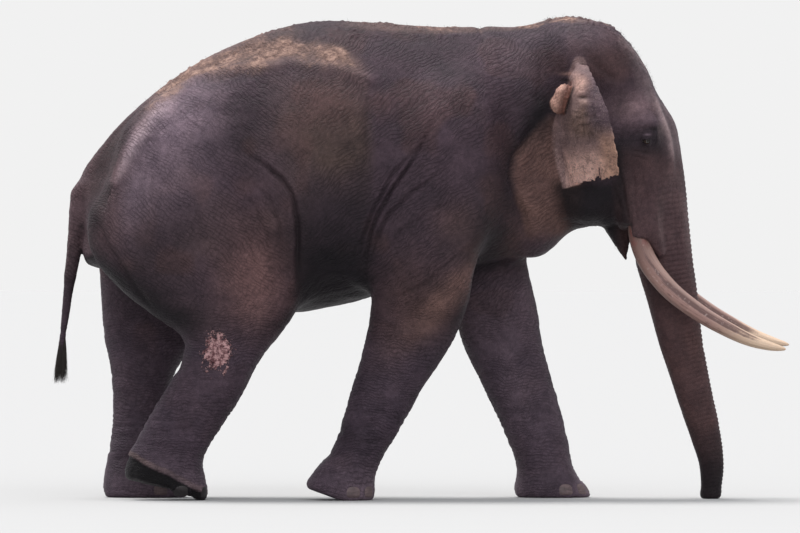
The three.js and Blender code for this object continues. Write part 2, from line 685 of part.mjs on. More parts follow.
// Flat cuts across the animal, each a point and a normal that points away from the trunk of the body.
const CUTS = {
  neckBase: { point: [525, 0, 2140], normal: [1, 0, 0.283] },
  headBase: { point: [770, 0, 2150], normal: [1, 0, 0.05] },
  trunkBase: { point: [1450, 0, 1395], normal: [-0.1, 0, -1] },
  trunkMiddle: { point: [1550, 0, 930], normal: [-0.2, 0, -1] },
  trunkLower: { point: [1690, 0, 450], normal: [-0.25, 0, -1] },
  tailMiddle: { point: [-2100, 0, 1370], normal: [0, 0, -1] },
  tailEnd: { point: [-2140, 0, 985], normal: [0, 0, -1] },
  ground: { point: [0, 0, 0], normal: [0, 0, 1] },
};
const beyond = (solid, cut) => trim(solid, cut.point, cut.normal);
const before = (solid, cut) => trim(solid, cut.point, cut.normal.map((n) => -n));
const onGround = (solid) => trim(solid, CUTS.ground.point, CUTS.ground.normal, 0);

// Trims a foot, or a nail of it, flat to the ground, and to the raised part of its sole if its heel is off the ground.
function onSole(solid, leg, gap = 0) {
  const flat = trim(solid, CUTS.ground.point, CUTS.ground.normal, gap);
  return leg.sole ? trim(flat, [leg.sole.x, 0, 0], [leg.sole.rise, 0, 1], gap) : flat;
}

// A leg leaves the body at a sloping roof, from the groin or armpit up to the outside of the hip or shoulder.
const ROOFS = {
  hind: { y: 120, z: 1130, slope: 1.24, ends: [{ point: [-722, 0, 0], normal: [-1, 0, 0] }] },
  fore: { y: 110, z: 1310, slope: 1.35, ends: [{ point: [-300, 0, 1240], normal: [1, 0, -0.36] }] },
};

function legSpace(kind, side, gap) {
  const roof = ROOFS[kind];
  const room = new THREE.BoxGeometry(3200, 1400, 3000);
  const place = new THREE.Matrix4().makeTranslation(kind === "hind" ? -1800 : 900, side * (700 + gap), 1000);
  const below = trim(solidOf(room, place), [0, side * roof.y, roof.z], [0, side * roof.slope, -1], gap);
  return roof.ends.reduce((space, end) => trim(space, end.point, end.normal, gap), below);
}

const skin = new THREE.MeshStandardMaterial({ color: HIDE_COLOUR, roughness: 0.78 });
const ivory = new THREE.MeshStandardMaterial({ color: IVORY_COLOUR, roughness: 0.45 });
const wet = new THREE.MeshStandardMaterial({ color: EYE_COLOUR, roughness: 0.12 });
const nailHorn = new THREE.MeshStandardMaterial({ color: NAIL_COLOUR, roughness: 0.6 });
const hair = new THREE.MeshStandardMaterial({ color: HAIR_COLOUR, roughness: 0.8 });

const TAIL_SPACE = { x: -2002, z: 1850 }; // the tail is parted from the rump behind x and below z

const animal = new THREE.Group();

function add(name, solid, material) {
  const mesh = new THREE.Mesh(geometryOf(largest(solid)), material);
  mesh.name = name;
  animal.add(mesh);
}

const fleshPart = (solid) => trueRims(largest(solid).simplify(SLIVER)).simplify(SLIVER);

// Torso, neck and tail
const bodyBox = box3(-2260, 860, -860, 860, 980, 2980);
let torso = before(surface(flesh, bodyBox, CELL.torso), CUTS.neckBase);
for (const kind of ["hind", "fore"]) {
  for (const side of [1, -1]) torso = torso.subtract(legSpace(kind, side, 0));
}
const tailSpace = (gap) => {
  const room = new THREE.BoxGeometry(400, 400, 1400);
  const place = new THREE.Matrix4().makeTranslation(TAIL_SPACE.x - 200 - gap, 0, TAIL_SPACE.z - 700 - gap);
  return solidOf(room, place);
};
add("torso", fleshPart(torso.subtract(tailSpace(0))), skin);

const neckBox = box3(250, 1010, -700, 700, 1380, 2980);
add("neck", fleshPart(before(beyond(surface(flesh, neckBox, CELL.neck), CUTS.neckBase), CUTS.headBase)), skin);

const tailBox = box3(-2280, -1960, -140, 140, 860, 1900);
const tail = surface(flesh, tailBox, CELL.tail).intersect(tailSpace(GAP));
add("tail_upper", fleshPart(before(tail, CUTS.tailMiddle)), skin);
add("tail_lower", fleshPart(before(beyond(tail, CUTS.tailMiddle), CUTS.tailEnd)), skin);
add("tail_tuft", tuft(), hair);

// Legs, feet and their nails
for (const [name, leg] of Object.entries(LEGS)) {
  const kind = name.split("_")[0];
  const xs = leg.sections.flatMap((s) => [s.front, s.rear]);
  const [inner, outer] = [leg.side * -60, leg.side * 860].sort((a, b) => a - b);
  const legBox = box3(Math.min(...xs) - 140, Math.max(...xs) + 120, inner, outer, -200, 2300);
  const inside = legSpace(kind, leg.side, GAP);
  const whole = (cell) => before(surface(flesh, legBox, cell), CUTS.neckBase).intersect(inside);
  const ankle = { point: [leg.foot.x, 0, leg.foot.z], normal: [leg.foot.rise, 0, -1] };
  const foot = fleshPart(onSole(beyond(whole(CELL.foot), ankle), leg));
  add(`leg_${name}`, fleshPart(before(whole(CELL.leg), ankle)), skin);
  add(`foot_${name}`, foot, skin);
  nails(name, leg, grown(foot));
}

// Head, jaw, trunk, and all that the head carries
const headBox = box3(660, 1760, -560, 560, 1280, 2990);
const headSolid = fleshPart(before(beyond(surface(flesh, headBox, CELL.head), CUTS.headBase), CUTS.trunkBase));
const headSpace = grown(headSolid);
const sockets = [1, -1].map((side) => tusk(side, CLEAR).add(eye(side, CLEAR)));
add("head", headSolid.subtract(sockets[0]).subtract(sockets[1]), skin);

const trunkBox = box3(1150, 1960, -330, 330, -190, 1560);
const trunk = onGround(beyond(surface(flesh, trunkBox, CELL.trunk), CUTS.trunkBase));
add("trunk_upper", fleshPart(before(trunk, CUTS.trunkMiddle)), skin);
add("trunk_middle", fleshPart(before(beyond(trunk, CUTS.trunkMiddle), CUTS.trunkLower)), skin);
add("trunk_lower", fleshPart(beyond(trunk, CUTS.trunkLower)), skin);

const jawBox = box3(800, 1400, -340, 340, 1360, 1900);
add("lower_jaw", surface((p) => jaw(intoHead(p)), jawBox, CELL.jaw).subtract(headSpace), skin);

for (const [name, side] of [["right", -1], ["left", 1]]) {
  add(`ear_${name}`, ear(side).subtract(headSpace), skin);
  add(`tusk_${name}`, tusk(side), ivory);
  add(`eye_${name}`, eye(side), wet);
}

// The model's own frame: the origin is the middle of its box, on the floor.
animal.updateMatrixWorld(true);
const extent = new THREE.Box3().setFromObject(animal, true);
const middle = extent.getCenter(new THREE.Vector3());
const part = new THREE.Group();
animal.position.set(-middle.x, -middle.y, 0);
part.add(animal);

export default part;
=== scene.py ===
# The visual model of a walking bull Asian elephant: one skin over the CAD model's nodes of flesh, with
# tusks, eyes, nails and hair of its own. Metres, +Z up, +X towards the head, +Y to the animal's left.
import math

import bpy
import numpy as np
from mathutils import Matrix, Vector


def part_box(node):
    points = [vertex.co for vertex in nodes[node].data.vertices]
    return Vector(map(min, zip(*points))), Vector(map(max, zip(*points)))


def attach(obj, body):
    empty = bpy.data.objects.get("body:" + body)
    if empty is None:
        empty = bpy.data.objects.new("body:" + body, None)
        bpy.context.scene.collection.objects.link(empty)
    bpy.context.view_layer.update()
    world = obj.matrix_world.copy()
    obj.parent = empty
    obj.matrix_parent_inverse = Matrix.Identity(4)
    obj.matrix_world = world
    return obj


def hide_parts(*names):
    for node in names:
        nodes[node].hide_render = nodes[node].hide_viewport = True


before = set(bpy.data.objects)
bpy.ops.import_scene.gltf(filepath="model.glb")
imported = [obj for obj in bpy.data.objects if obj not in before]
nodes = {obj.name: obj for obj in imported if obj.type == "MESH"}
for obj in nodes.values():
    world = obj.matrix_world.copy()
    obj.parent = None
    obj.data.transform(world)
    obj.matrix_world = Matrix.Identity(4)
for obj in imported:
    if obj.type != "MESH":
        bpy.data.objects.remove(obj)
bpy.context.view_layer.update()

import openvdb as vdb
from mathutils import Vector
from mathutils.bvhtree import BVHTree

# ---- driving dimensions

VOXEL = 0.0105  # grid pitch of the body's field
BAND = 6  # half the width of a level set's band, in voxels
BRIDGE = 0.0025  # how far the solids are swollen so that the cuts between them close
BODY_SOFT = 0.016  # how far the faceted body is smoothed
THIN_SOFT = 0.006  # and its thin parts: tail, trunk's tip
EAR_SOFT = 0.0035  # and the ears
EAR_COAT = 0.0005  # how far the skin lies inside the ears' sheets
EAR_BLEND = 0.026  # how far an ear's root flows into the head
EYE_BLEND = 0.020  # how far the hide over an eye does
EYE_ROOM = 0.1  # how far round an eye the hide over it is worked out
EYE_SWELL = 1.15  # how far the hide over an eye stands out, in eye radii
WELD = 20000  # corners are welded to a grid of so many steps in a metre
COAT = 0.0015  # how far the skin lies inside the solids, under its coat
ROUNDING = 0.8  # how round each facet is blown up, from 0 for flat to 1
FINE_STEP = 0.02  # length of the pieces that a facet is cut into
CUT_GAP = 0.004  # facets closer than this to a neighbour lie on the cut between them
NORMAL_REACH = 0.75  # how far the facets round a corner shape its normal, in edges
BATCH = 400  # corners worked out at once

MIDPLANE = 0.051  # y of the body's middle
HEAD_PIVOT = np.array([0.701, MIDPLANE, 2.0])
HEAD_YAW = math.radians(-5)
HEAD_ROLL = math.radians(1.5)
EYE_RADIUS = 0.027

LEGS = ["hind_right", "hind_left", "fore_right", "fore_left"]
SIDES = {"right": -1, "left": 1}
FLESH = ["torso", "neck", "head", "lower_jaw"]
FLESH += ["trunk_upper", "trunk_middle", "trunk_lower", "tail_upper", "tail_lower"]
FLESH += [f"{part}_{leg}" for leg in LEGS for part in ("leg", "foot")]
EARS = ["ear_right", "ear_left"]

# ---- small maths


def ramp(low, high, x):
    """0 up to low and 1 from high on, with a smooth rise between them. low may be the greater one."""
    t = np.clip((x - low) / (high - low), 0, 1)
    return t * t * (3 - 2 * t)


def bell(x, middle, width):
    """1 at the middle, falling to 0 on both sides of it."""
    return np.exp(-(((x - middle) / width) ** 2))


def spot(p, place, size):
    """1 at a place seen from the side, given as x and z, falling to 0 round it."""
    return bell(p[:, 0], place[0], size[0]) * bell(p[:, 2], place[1], size[1])


def unit(v):
    return v / np.linalg.norm(v, axis=-1, keepdims=True)


def square_to(forward):
    """Directions sideways and up, square to the ones that lead forward."""
    sideways = unit(np.cross(forward, [0, 0, 1]))
    return sideways, np.cross(sideways, forward)


def mirrored(own):
    """Points of the head's own frame, all brought to its left side."""
    return np.stack([own[:, 0], np.abs(own[:, 1]), own[:, 2]], -1)


def soft_min(a, b, blend):
    """The lesser of two distances, with the corner between them filled over the reach of the blend."""
    h = np.clip(blend - np.abs(a - b), 0, None) / blend
    return np.minimum(a, b) - h * h * blend * 0.25


def soft_max(a, b, blend):
    return -soft_min(-a, -b, blend)


def turn(axis, angle):
    c, s = math.cos(angle), math.sin(angle)
    if axis == "z":
        return np.array([[c, -s, 0], [s, c, 0], [0, 0, 1]])
    return np.array([[1, 0, 0], [0, c, -s], [0, s, c]])


HEAD_TURN = turn("z", HEAD_YAW) @ turn("x", HEAD_ROLL)
HEAD_OWN = HEAD_PIVOT * [1, 0, 1]


def to_head(p):
    """Points in the head's own frame: the head looks straight along +X, with its middle at y = 0."""
    return (p - HEAD_PIVOT) @ HEAD_TURN + HEAD_OWN


def from_head(p):
    """Points of the head's own frame, back in the model's."""
    return (np.asarray(p, float) - HEAD_OWN) @ HEAD_TURN.T + HEAD_PIVOT


def curve_through(points, t):
    """Catmull-Rom curve through a short list of points, at t from 0 to 1, spread evenly over its spans."""
    p = np.asarray(points, float)
    p = np.vstack([2 * p[0] - p[1], p, 2 * p[-1] - p[-2]])
    spans = len(p) - 3
    s = np.clip(np.asarray(t, float) * spans, 0, spans - 1e-9)
    i = s.astype(int)
    f = (s - i)[..., None]
    a, b, c, d = p[i], p[i + 1], p[i + 2], p[i + 3]
    square, cube = 2 * a - 5 * b + 4 * c - d, 3 * b - a - 3 * c + d
    return 0.5 * (2 * b + (c - a) * f + square * f**2 + cube * f**3)


def cell_corners(f):
    """The eight corners of a grid cell, each with its share at a place f in the cell."""
    for corner in np.ndindex(2, 2, 2):
        x, y, z = (f[:, a] if corner[a] else 1 - f[:, a] for a in range(3))
        yield corner, x * y * z


def two_triangles(quads):
    """Each quad as two triangles."""
    return np.vstack([quads[:, [0, 1, 2]], quads[:, [0, 2, 3]]])


def sheet_quads(number):
    """The quads between the points of a grid, given by their numbers."""
    return np.stack([number[:-1, :-1], number[1:, :-1], number[1:, 1:], number[:-1, 1:]], -1).reshape(-1, 4)


def sheet_border(number):
    """The numbers along the border of a grid, once round it."""
    return np.concatenate([number[0, :-1], number[:-1, -1], number[-1, :0:-1], number[:0:-1, 0]])


# ---- the solids, rounded


def solid(name):
    """Welded corners and triangles of a CAD node."""
    mesh = nodes[name].data
    mesh.calc_loop_triangles()
    co = np.empty(len(mesh.vertices) * 3)
    mesh.vertices.foreach_get("co", co)
    tri = np.empty(len(mesh.loop_triangles) * 3, int)
    mesh.loop_triangles.foreach_get("vertices", tri)
    keys, index = np.unique(np.round(co.reshape(-1, 3) * WELD).astype(int), axis=0, return_inverse=True)
    tri = index.reshape(-1)[tri].reshape(-1, 3)
    good = (tri[:, 0] != tri[:, 1]) & (tri[:, 1] != tri[:, 2]) & (tri[:, 2] != tri[:, 0])
    return keys / WELD, tri[good]


def area_normals(co, tri):
    a, b, c = co[tri[:, 0]], co[tri[:, 1]], co[tri[:, 2]]
    return np.cross(b - a, c - a) / 2


def cut_faces(name, solids, trees):
    """True for the triangles on the flat cut between this node and a neighbour."""
    co, tri = solids[name]
    normal = area_normals(co, tri)
    normal /= np.linalg.norm(normal, axis=1)[:, None] + 1e-12
    middle = co[tri].mean(1)
    low, high = co.min(0) - 0.01, co.max(0) + 0.01
    cut = np.zeros(len(tri), bool)
    for other in solids:
        co2 = solids[other][0]
        if other == name or (co2.min(0) > high).any() or (co2.max(0) < low).any():
            continue
        for f in np.flatnonzero(~cut):
            _, facing, _, far = trees[other].find_nearest(Vector(middle[f]), CUT_GAP)
            cut[f] = far is not None and facing.dot(Vector(normal[f])) < -0.6
    return cut


def round_edges(tri, flat):
    """Whether the edge across from each corner of a triangle is shared with a rounded triangle."""
    ends = np.stack([np.roll(tri, -1, axis=1), np.roll(tri, -2, axis=1)], -1)
    pairs = np.sort(ends.reshape(-1, 2), axis=1)
    _, edge = np.unique(pairs[:, 0] * (tri.max() + 1) + pairs[:, 1], return_inverse=True)
    edge = edge.reshape(-1, 3)
    is_round = np.zeros(edge.max() + 1, bool)
    is_round[edge[~flat].ravel()] = True
    return is_round[edge]


def blown_up(co, tri, normals, flat):
    """The triangles cut small, with the curved ones blown up to the round form of their corner normals.
    A flat one takes on the curve of an edge that it shares with a curved one, so the solid stays closed."""
    points, faces, count = [], [], 0
    corner = co[tri]
    curved = round_edges(tri, flat)
    edge = np.linalg.norm(corner - np.roll(corner, 1, axis=1), axis=2).max(1)
    steps = np.clip(np.ceil(edge / FINE_STEP), 1, 16).astype(int)
    for n in np.unique(steps):
        rows = np.flatnonzero(steps == n)
        i, j = np.meshgrid(np.arange(n + 1), np.arange(n + 1), indexing="ij")
        inside = i + j <= n
        number = np.full(i.shape, -1)
        number[inside] = np.arange(inside.sum())
        count3 = np.stack([n - i - j, i, j], -1)[inside]
        w = count3 / n
        a, b, c, d = number[:-1, :-1], number[1:, :-1], number[:-1, 1:], number[1:, 1:]
        one = (a >= 0) & (b >= 0) & (c >= 0)
        two = one & (d >= 0)
        small = np.vstack([np.stack([a, b, c], -1)[one], np.stack([b, d, c], -1)[two]])
        p = np.einsum("kw,fwx->fkx", w, corner[rows])
        pulled = np.zeros_like(p)
        for k in range(3):
            at, n_k = corner[rows, k][:, None, :], normals[tri[rows, k]][:, None, :]
            pulled += w[None, :, k, None] * (p - ((p - at) * n_k).sum(-1, keepdims=True) * n_k)
        on_curve = ((count3[None] == 0) & curved[rows][:, None, :]).any(-1)
        rounding = np.where(flat[rows][:, None] & ~on_curve, 0, ROUNDING)
        p += (pulled - p) * rounding[..., None]
        start = (np.arange(len(rows)) * len(w))[:, None, None]
        faces.append((small[None] + start).reshape(-1, 3) + count)
        points.append(p.reshape(-1, 3))
        count += len(rows) * len(w)
    return np.vstack(points), np.vstack(faces)


def flesh_solids():
    """Each flesh node as a finely cut closed solid with rounded facets."""
    solids = {n: solid(n) for n in FLESH}
    trees = {n: BVHTree.FromPolygons(co.tolist(), tri.tolist()) for n, (co, tri) in solids.items()}
    flat = {}
    middles, weights = [], []
    for n, (co, tri) in solids.items():
        normal = area_normals(co, tri)
        level = normal[:, 2] < -0.9 * np.linalg.norm(normal, axis=1)
        sole = level & (co[tri][:, :, 2].max(1) < 0.002)
        flat[n] = cut_faces(n, solids, trees) | sole
        keep = ~flat[n]
        middles.append(co[tri[keep]].mean(1))
        weights.append(normal[keep])
    middles, weights = np.vstack(middles), np.vstack(weights)
    made = {}
    for n, (co, tri) in solids.items():
        edge = np.linalg.norm(co[tri] - np.roll(co[tri], 1, axis=1), axis=2).mean()
        normals = np.empty_like(co)
        for part in np.array_split(np.arange(len(co)), max(1, len(co) // BATCH)):
            far2 = ((co[part][:, None, :] - middles[None]) ** 2).sum(-1)
            normals[part] = np.exp(-far2 / (NORMAL_REACH * edge) ** 2) @ weights
        normals /= np.linalg.norm(normals, axis=1)[:, None] + 1e-12
        made[n] = blown_up(co, tri, normals, flat[n])
    return made


# ---- fields on a grid


class Field:
    """Signed distance on a box of grid points: negative inside."""

    def __init__(self, low, high, pitch):
        self.pitch = pitch
        self.first = np.floor(np.asarray(low) / pitch).astype(int)
        last = np.ceil(np.asarray(high) / pitch).astype(int)
        self.shape = tuple(last - self.first + 1)
        self.values = None

    def level_set(self, points, triangles):
        transform = vdb.createLinearTransform(voxelSize=self.pitch)
        grid = vdb.FloatGrid.createLevelSetFromPolygons(
            points.astype(np.float32),
            triangles=triangles.astype(np.uint32),
            transform=transform,
            halfWidth=BAND,
        )
        values = np.empty(self.shape, np.float32)
        grid.copyToArray(values, ijk=tuple(int(v) for v in self.first))
        return values

    def quads(self, at=0.0):
        grid = vdb.FloatGrid(BAND * self.pitch)
        grid.transform = vdb.createLinearTransform(voxelSize=self.pitch)
        grid.copyFromArray(self.values, ijk=tuple(int(v) for v in self.first))
        points, quads = grid.convertToQuads(isovalue=at)
        return points.astype(float), quads.astype(int)

    def blurred(self, reach):
        """The values smoothed by a Gaussian of that reach, in metres."""
        sigma = reach / self.pitch
        half = int(math.ceil(3 * sigma))
        taps = np.exp(-0.5 * (np.arange(-half, half + 1) / sigma) ** 2)
        taps = (taps / taps.sum()).astype(np.float32)
        out = self.values
        for axis in range(3):
            padded = np.pad(out, [(half, half) if a == axis else (0, 0) for a in range(3)], mode="edge")
            total = np.zeros_like(out)
            for k, tap in enumerate(taps):
                window = [slice(None)] * 3
                window[axis] = slice(k, k + out.shape[axis])
                total += tap * padded[tuple(window)]
            out = total
        return out

    def at(self, p):
        """Values at points, linear between grid points."""
        q = p / self.pitch - self.first
        q = np.clip(q, 0, np.array(self.shape) - 1.001)
        i = q.astype(int)
        f = (q - i).astype(np.float32)
        total = np.zeros(len(p), np.float32)
        for corner, share in cell_corners(f):
            total += share * self.values[tuple((i + corner).T)]
        return total.astype(float)

    def axes(self):
        return [(self.first[a] + np.arange(self.shape[a])) * self.pitch for a in range(3)]


# ---- the ears, as bent sheets

EAR_ROOT = [(0.985, 0.240, 2.615), (0.955, 0.275, 2.520), (0.935, 0.300, 2.425)]
EAR_ROOT += [(0.858, 0.290, 2.300), (0.836, 0.265, 2.095), (0.864, 0.225, 1.888)]
EAR_EDGE = [(1.029, 0.400, 2.598), (1.078, 0.610, 2.530), (1.172, 0.790, 2.340)]
EAR_EDGE += [(1.222, 0.810, 2.120), (1.236, 0.690, 1.930)]
# two rods of the fold behind an ear's root: their ends and the radius at each end
EAR_LOBE = [((0.850, 0.300, 2.370), (0.870, 0.440, 2.362), 0.046, 0.046)]
EAR_LOBE += [((0.868, 0.440, 2.362), (0.899, 0.462, 2.430), 0.045, 0.058)]
# notches along its lower edge: their place across the ear, their width and their depth
EAR_NOTCHES = [(0.44, 0.05, 0.012), (0.63, 0.10, 0.024), (0.80, 0.05, 0.014), (0.93, 0.09, 0.022)]


def ear_points(across, down):
    """Middle of the left ear's sheet in the head's frame: across from its root, down from its top."""
    root, edge = curve_through(EAR_ROOT, down), curve_through(EAR_EDGE, down)
    bow = 4 * across * (1 - across)
    p = root + (edge - root) * across[..., None]
    p[..., 0] -= bow * 0.062 * np.sin(np.pi * np.clip(down + 0.15, 0, 1))
    p[..., 1] += bow * 0.034
    return p


def ear_sheet(side, rows=90, columns=70):
    """A closed ear, finely meshed: thick at its root, thin at its torn and curled edge."""
    down, across = np.meshgrid(np.linspace(0, 1, rows), np.linspace(0, 1, columns), indexing="ij")
    p = ear_points(across, down)
    du = np.gradient(p, axis=1)
    dv = np.gradient(p, axis=0)
    normal = unit(np.cross(du, dv))
    notches = np.zeros_like(across)
    for place, width, deep in EAR_NOTCHES:
        notches += deep * np.clip(1 - np.abs(across - place) / width, 0, 1)
    torn = 0.005 * np.sin(across * 52 + 1 + side) + 0.003 * np.sin(across * 97)
    p[..., 2] += ramp(0.84, 1, down) * (torn + notches - 0.012 * (1 - across))
    ragged = 0.002 * np.sin(down * 41 + side) + 0.0015 * np.sin(down * 83 + 2 * side)
    p += (across**6 * ragged)[..., None] * unit(du)
    ripple = 0.007 * np.sin(down * 30 + across * 5) * bell(across, 0.25, 0.2) * bell(down, 0.3, 0.3)
    ripple += 0.006 * np.sin(across * 13 + down * 4) * ramp(0.45, 1, down)
    p += ripple[..., None] * normal
    rim = np.clip(np.minimum(np.minimum(1 - across, down), 1 - down) * 14, 0, 1)
    half = (0.0055 + 0.0115 * (1 - across) ** 1.5 + 0.002 * (1 - down)) * np.sqrt(0.25 + 0.75 * rim)
    half *= 1 - 0.45 * ramp(0.75, 1, down)
    half = np.maximum(half, 0.0052)
    layers = np.stack([p + normal * half[..., None], p - normal * half[..., None]])
    layers = layers.reshape(-1, 3) * [1, side, 1]
    number = np.arange(rows * columns).reshape(rows, columns)
    lift = rows * columns
    border = sheet_border(number)
    after = np.roll(border, -1)
    wall = np.stack([border, after, after + lift, border + lift], -1)
    front = sheet_quads(number)
    quads = np.vstack([front, front[:, ::-1] + lift, wall])
    return from_head(layers), two_triangles(quads)


# ---- the skin's field


def rod(p, a, b, ra, rb):
    """Distance to a rod from a to b that tapers from radius ra to rb."""
    a, b = np.array(a), np.array(b)
    t = np.clip((p - a) @ (b - a) / ((b - a) @ (b - a)), 0, 1)
    return np.linalg.norm(p - a - t[:, None] * (b - a), axis=1) - (ra + (rb - ra) * t)


def flesh_field():
    """The body as one smooth field: its solids joined, their inner walls gone, their facets smoothed."""
    solids = flesh_solids()
    low = np.min([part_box(n)[0] for n in FLESH + EARS], axis=0) - 0.12
    high = np.max([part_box(n)[1] for n in FLESH + EARS], axis=0) + 0.12
    body = Field(low, high, VOXEL)
    body.values = np.full(body.shape, BAND * VOXEL, np.float32)
    for co, tri in solids.values():
        part = Field(co.min(0) - 0.06, co.max(0) + 0.06, VOXEL)
        first = part.first - body.first
        room = tuple(slice(first[a], first[a] + part.shape[a]) for a in range(3))
        body.values[room] = np.minimum(body.values[room], part.level_set(co, tri))
    points, quads = body.quads(at=BRIDGE)
    body.values = body.level_set(points, two_triangles(quads)) + BRIDGE + COAT
    x, _, z = np.meshgrid(*body.axes(), indexing="ij", sparse=True)
    thin, wide = body.blurred(THIN_SOFT), body.blurred(BODY_SOFT)
    bulk = ramp(-2.02, -1.9, x) * (1 - 0.75 * ramp(0.75, 1.0, x))
    bulk = np.maximum(bulk, ramp(-1.5, -1.9, x) * ramp(1.66, 1.80, z))
    body.values = thin + (wide - thin) * bulk.astype(np.float32)
    return body


def lobe_distance(own):
    """Distance to the fold of hide behind each ear's root."""
    return soft_min(*(rod(mirrored(own), *ends) for ends in EAR_LOBE), 0.03)


def ear_field(side):
    points, triangles = ear_sheet(side)
    ear = Field(points.min(0) - 0.08, points.max(0) + 0.05, VOXEL / 2)
    ear.values = ear.level_set(points, triangles)
    spots = np.stack(np.meshgrid(*ear.axes(), indexing="ij"), -1).reshape(-1, 3)
    band = BAND * VOXEL / 2
    lobe = np.clip(lobe_distance(to_head(spots)), -band, band).reshape(ear.shape)
    ear.values = np.clip(soft_min(ear.values, lobe, 0.010), -band, band).astype(np.float32)
    ear.values = ear.blurred(EAR_SOFT) + EAR_COAT
    return ear


# the rooms that hold the fine parts, as limits along x, y and z: the mouth and the tail's end
FINE_ROOMS = (((1.0, 1.65), (-0.4, 0.5), (1.3, 2.0)), ((-2.3, -2.0), (-0.06, 0.16), (0.75, 1.65)))
# x, z and radius down the tail's end
TAIL_DOCK = [(-2.073, 1.54, 0.044), (-2.103, 1.34, 0.035), (-2.129, 1.12, 0.0255)]
TAIL_DOCK += [(-2.155, 0.93, 0.0175), (-2.172, 0.84, 0.013)]


def with_fine_parts(p, value):
    """Adds what the solids only hint at: collars behind the tusks' roots, the pointed lip, the tail's end."""
    near = np.flatnonzero((p[:, 0] > 1.05) & (p[:, 0] < 1.6) & (p[:, 2] > 1.35) & (p[:, 2] < 1.95))
    own = to_head(p[near])
    own[:, 1] = np.abs(own[:, 1])
    v = value[near]
    collar = rod(own, (1.262, 0.165, 1.83), (1.297, 0.196, 1.50), 0.086, 0.083)
    below = 1.598 - 0.16 * (own[:, 0] - 1.206) - own[:, 2]
    v = soft_min(v, soft_max(collar, below, 0.02), 0.05)
    v = soft_min(v, rod(own, (1.385, 0.192, 1.61), (1.448, 0.186, 1.482), 0.060, 0.026), 0.03)
    flat = own * [1, 0.55, 1]
    at_lip = ramp(1.29, 1.262, own[:, 0]) * ramp(1.68, 1.60, own[:, 2])
    carved = soft_max(v, rod(flat, (1.15, 0, 1.74), (1.228, 0, 1.448), 0.155, 0.004), 0.02)
    v += (carved - v) * at_lip
    value[near] = soft_min(v, rod(flat, (1.165, 0, 1.62), (1.230, 0, 1.440), 0.05, 0.004), 0.012)
    # the end of the tail goes on inside its hair
    near = np.flatnonzero((p[:, 0] < -2.0) & (p[:, 2] > 0.75) & (p[:, 2] < 1.62))
    for (ax, az, ra), (bx, bz, rb) in zip(TAIL_DOCK, TAIL_DOCK[1:]):
        dock = rod(p[near], (ax, MIDPLANE, az), (bx, MIDPLANE, bz), ra, rb)
        value[near] = soft_min(value[near], dock, 0.008)
    return value


class Skin:
    """The finished form of the animal's skin as a field."""

    def __init__(self):
        self.body = flesh_field()
        self.ears = {side: ear_field(sign) for side, sign in SIDES.items()}
        self.eyes = {side: np.array(sum(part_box(f"eye_{side}"), Vector())) / 2 for side in SIDES}

    def at(self, p):
        value = with_fine_parts(p, self.body.at(p))
        for ear in self.ears.values():
            low = (ear.first + 1) * ear.pitch
            high = (ear.first + np.array(ear.shape) - 2) * ear.pitch
            near = ((p > low) & (p < high)).all(1)
            value[near] = soft_min(value[near], ear.at(p[near]), EAR_BLEND)
        for eye in self.eyes.values():
            ball = np.linalg.norm(p - eye, axis=1) - EYE_RADIUS * EYE_SWELL
            near = ball < EYE_ROOM
            value[near] = soft_min(value[near], ball[near], EYE_BLEND)
        return value

    def slope(self, p, step=0.005):
        out = np.empty_like(p)
        for a in range(3):
            d = np.zeros(3)
            d[a] = step
            out[:, a] = (self.at(p + d) - self.at(p - d)) / (2 * step)
        return out

    def settled(self, p, rounds=3):
        """Points moved onto the skin."""
        p = p.copy()
        for _ in range(rounds):
            g = self.slope(p)
            step = self.at(p) / np.maximum((g * g).sum(1), 0.2)
            p -= np.clip(step, -0.006, 0.006)[:, None] * g
        return p

    def quads(self):
        """First mesh of the skin, at the body's pitch."""
        body = self.body
        whole = Field(body.first * VOXEL, (body.first + np.array(body.shape) - 1) * VOXEL, VOXEL)
        whole.values = body.values.copy()
        axes = whole.axes()
        for limits in FINE_ROOMS:
            i = [np.flatnonzero((a > low) & (a < high)) for a, (low, high) in zip(axes, limits)]
            room = tuple(slice(k[0], k[-1] + 1) for k in i)
            spots = np.stack(np.meshgrid(*(a[k] for a, k in zip(axes, i)), indexing="ij"), -1).reshape(-1, 3)
            changed = with_fine_parts(spots, whole.values[room].ravel().astype(float))
            whole.values[room] = changed.reshape(whole.values[room].shape)
        for ear in self.ears.values():
            start = -(-ear.first // 2)
            skip = start * 2 - ear.first
            coarse = ear.values[skip[0] :: 2, skip[1] :: 2, skip[2] :: 2]
            at = start - whole.first
            room = tuple(slice(at[a], at[a] + coarse.shape[a]) for a in range(3))
            have = whole.values[room]
            coarse = coarse[: have.shape[0], : have.shape[1], : have.shape[2]]
            whole.values[room] = soft_min(have, coarse, EAR_BLEND)
        for eye in self.eyes.values():
            i = [np.flatnonzero(np.abs(a - c) < EYE_ROOM) for a, c in zip(axes, eye)]
            room = tuple(slice(k[0], k[-1] + 1) for k in i)
            gx, gy, gz = np.meshgrid(*(a[k] - c for a, k, c in zip(axes, i, eye)), indexing="ij", sparse=True)
            ball = np.sqrt(gx**2 + gy**2 + gz**2) - EYE_RADIUS * EYE_SWELL
            whole.values[room] = soft_min(whole.values[room], ball, EYE_BLEND)
        return whole.quads()


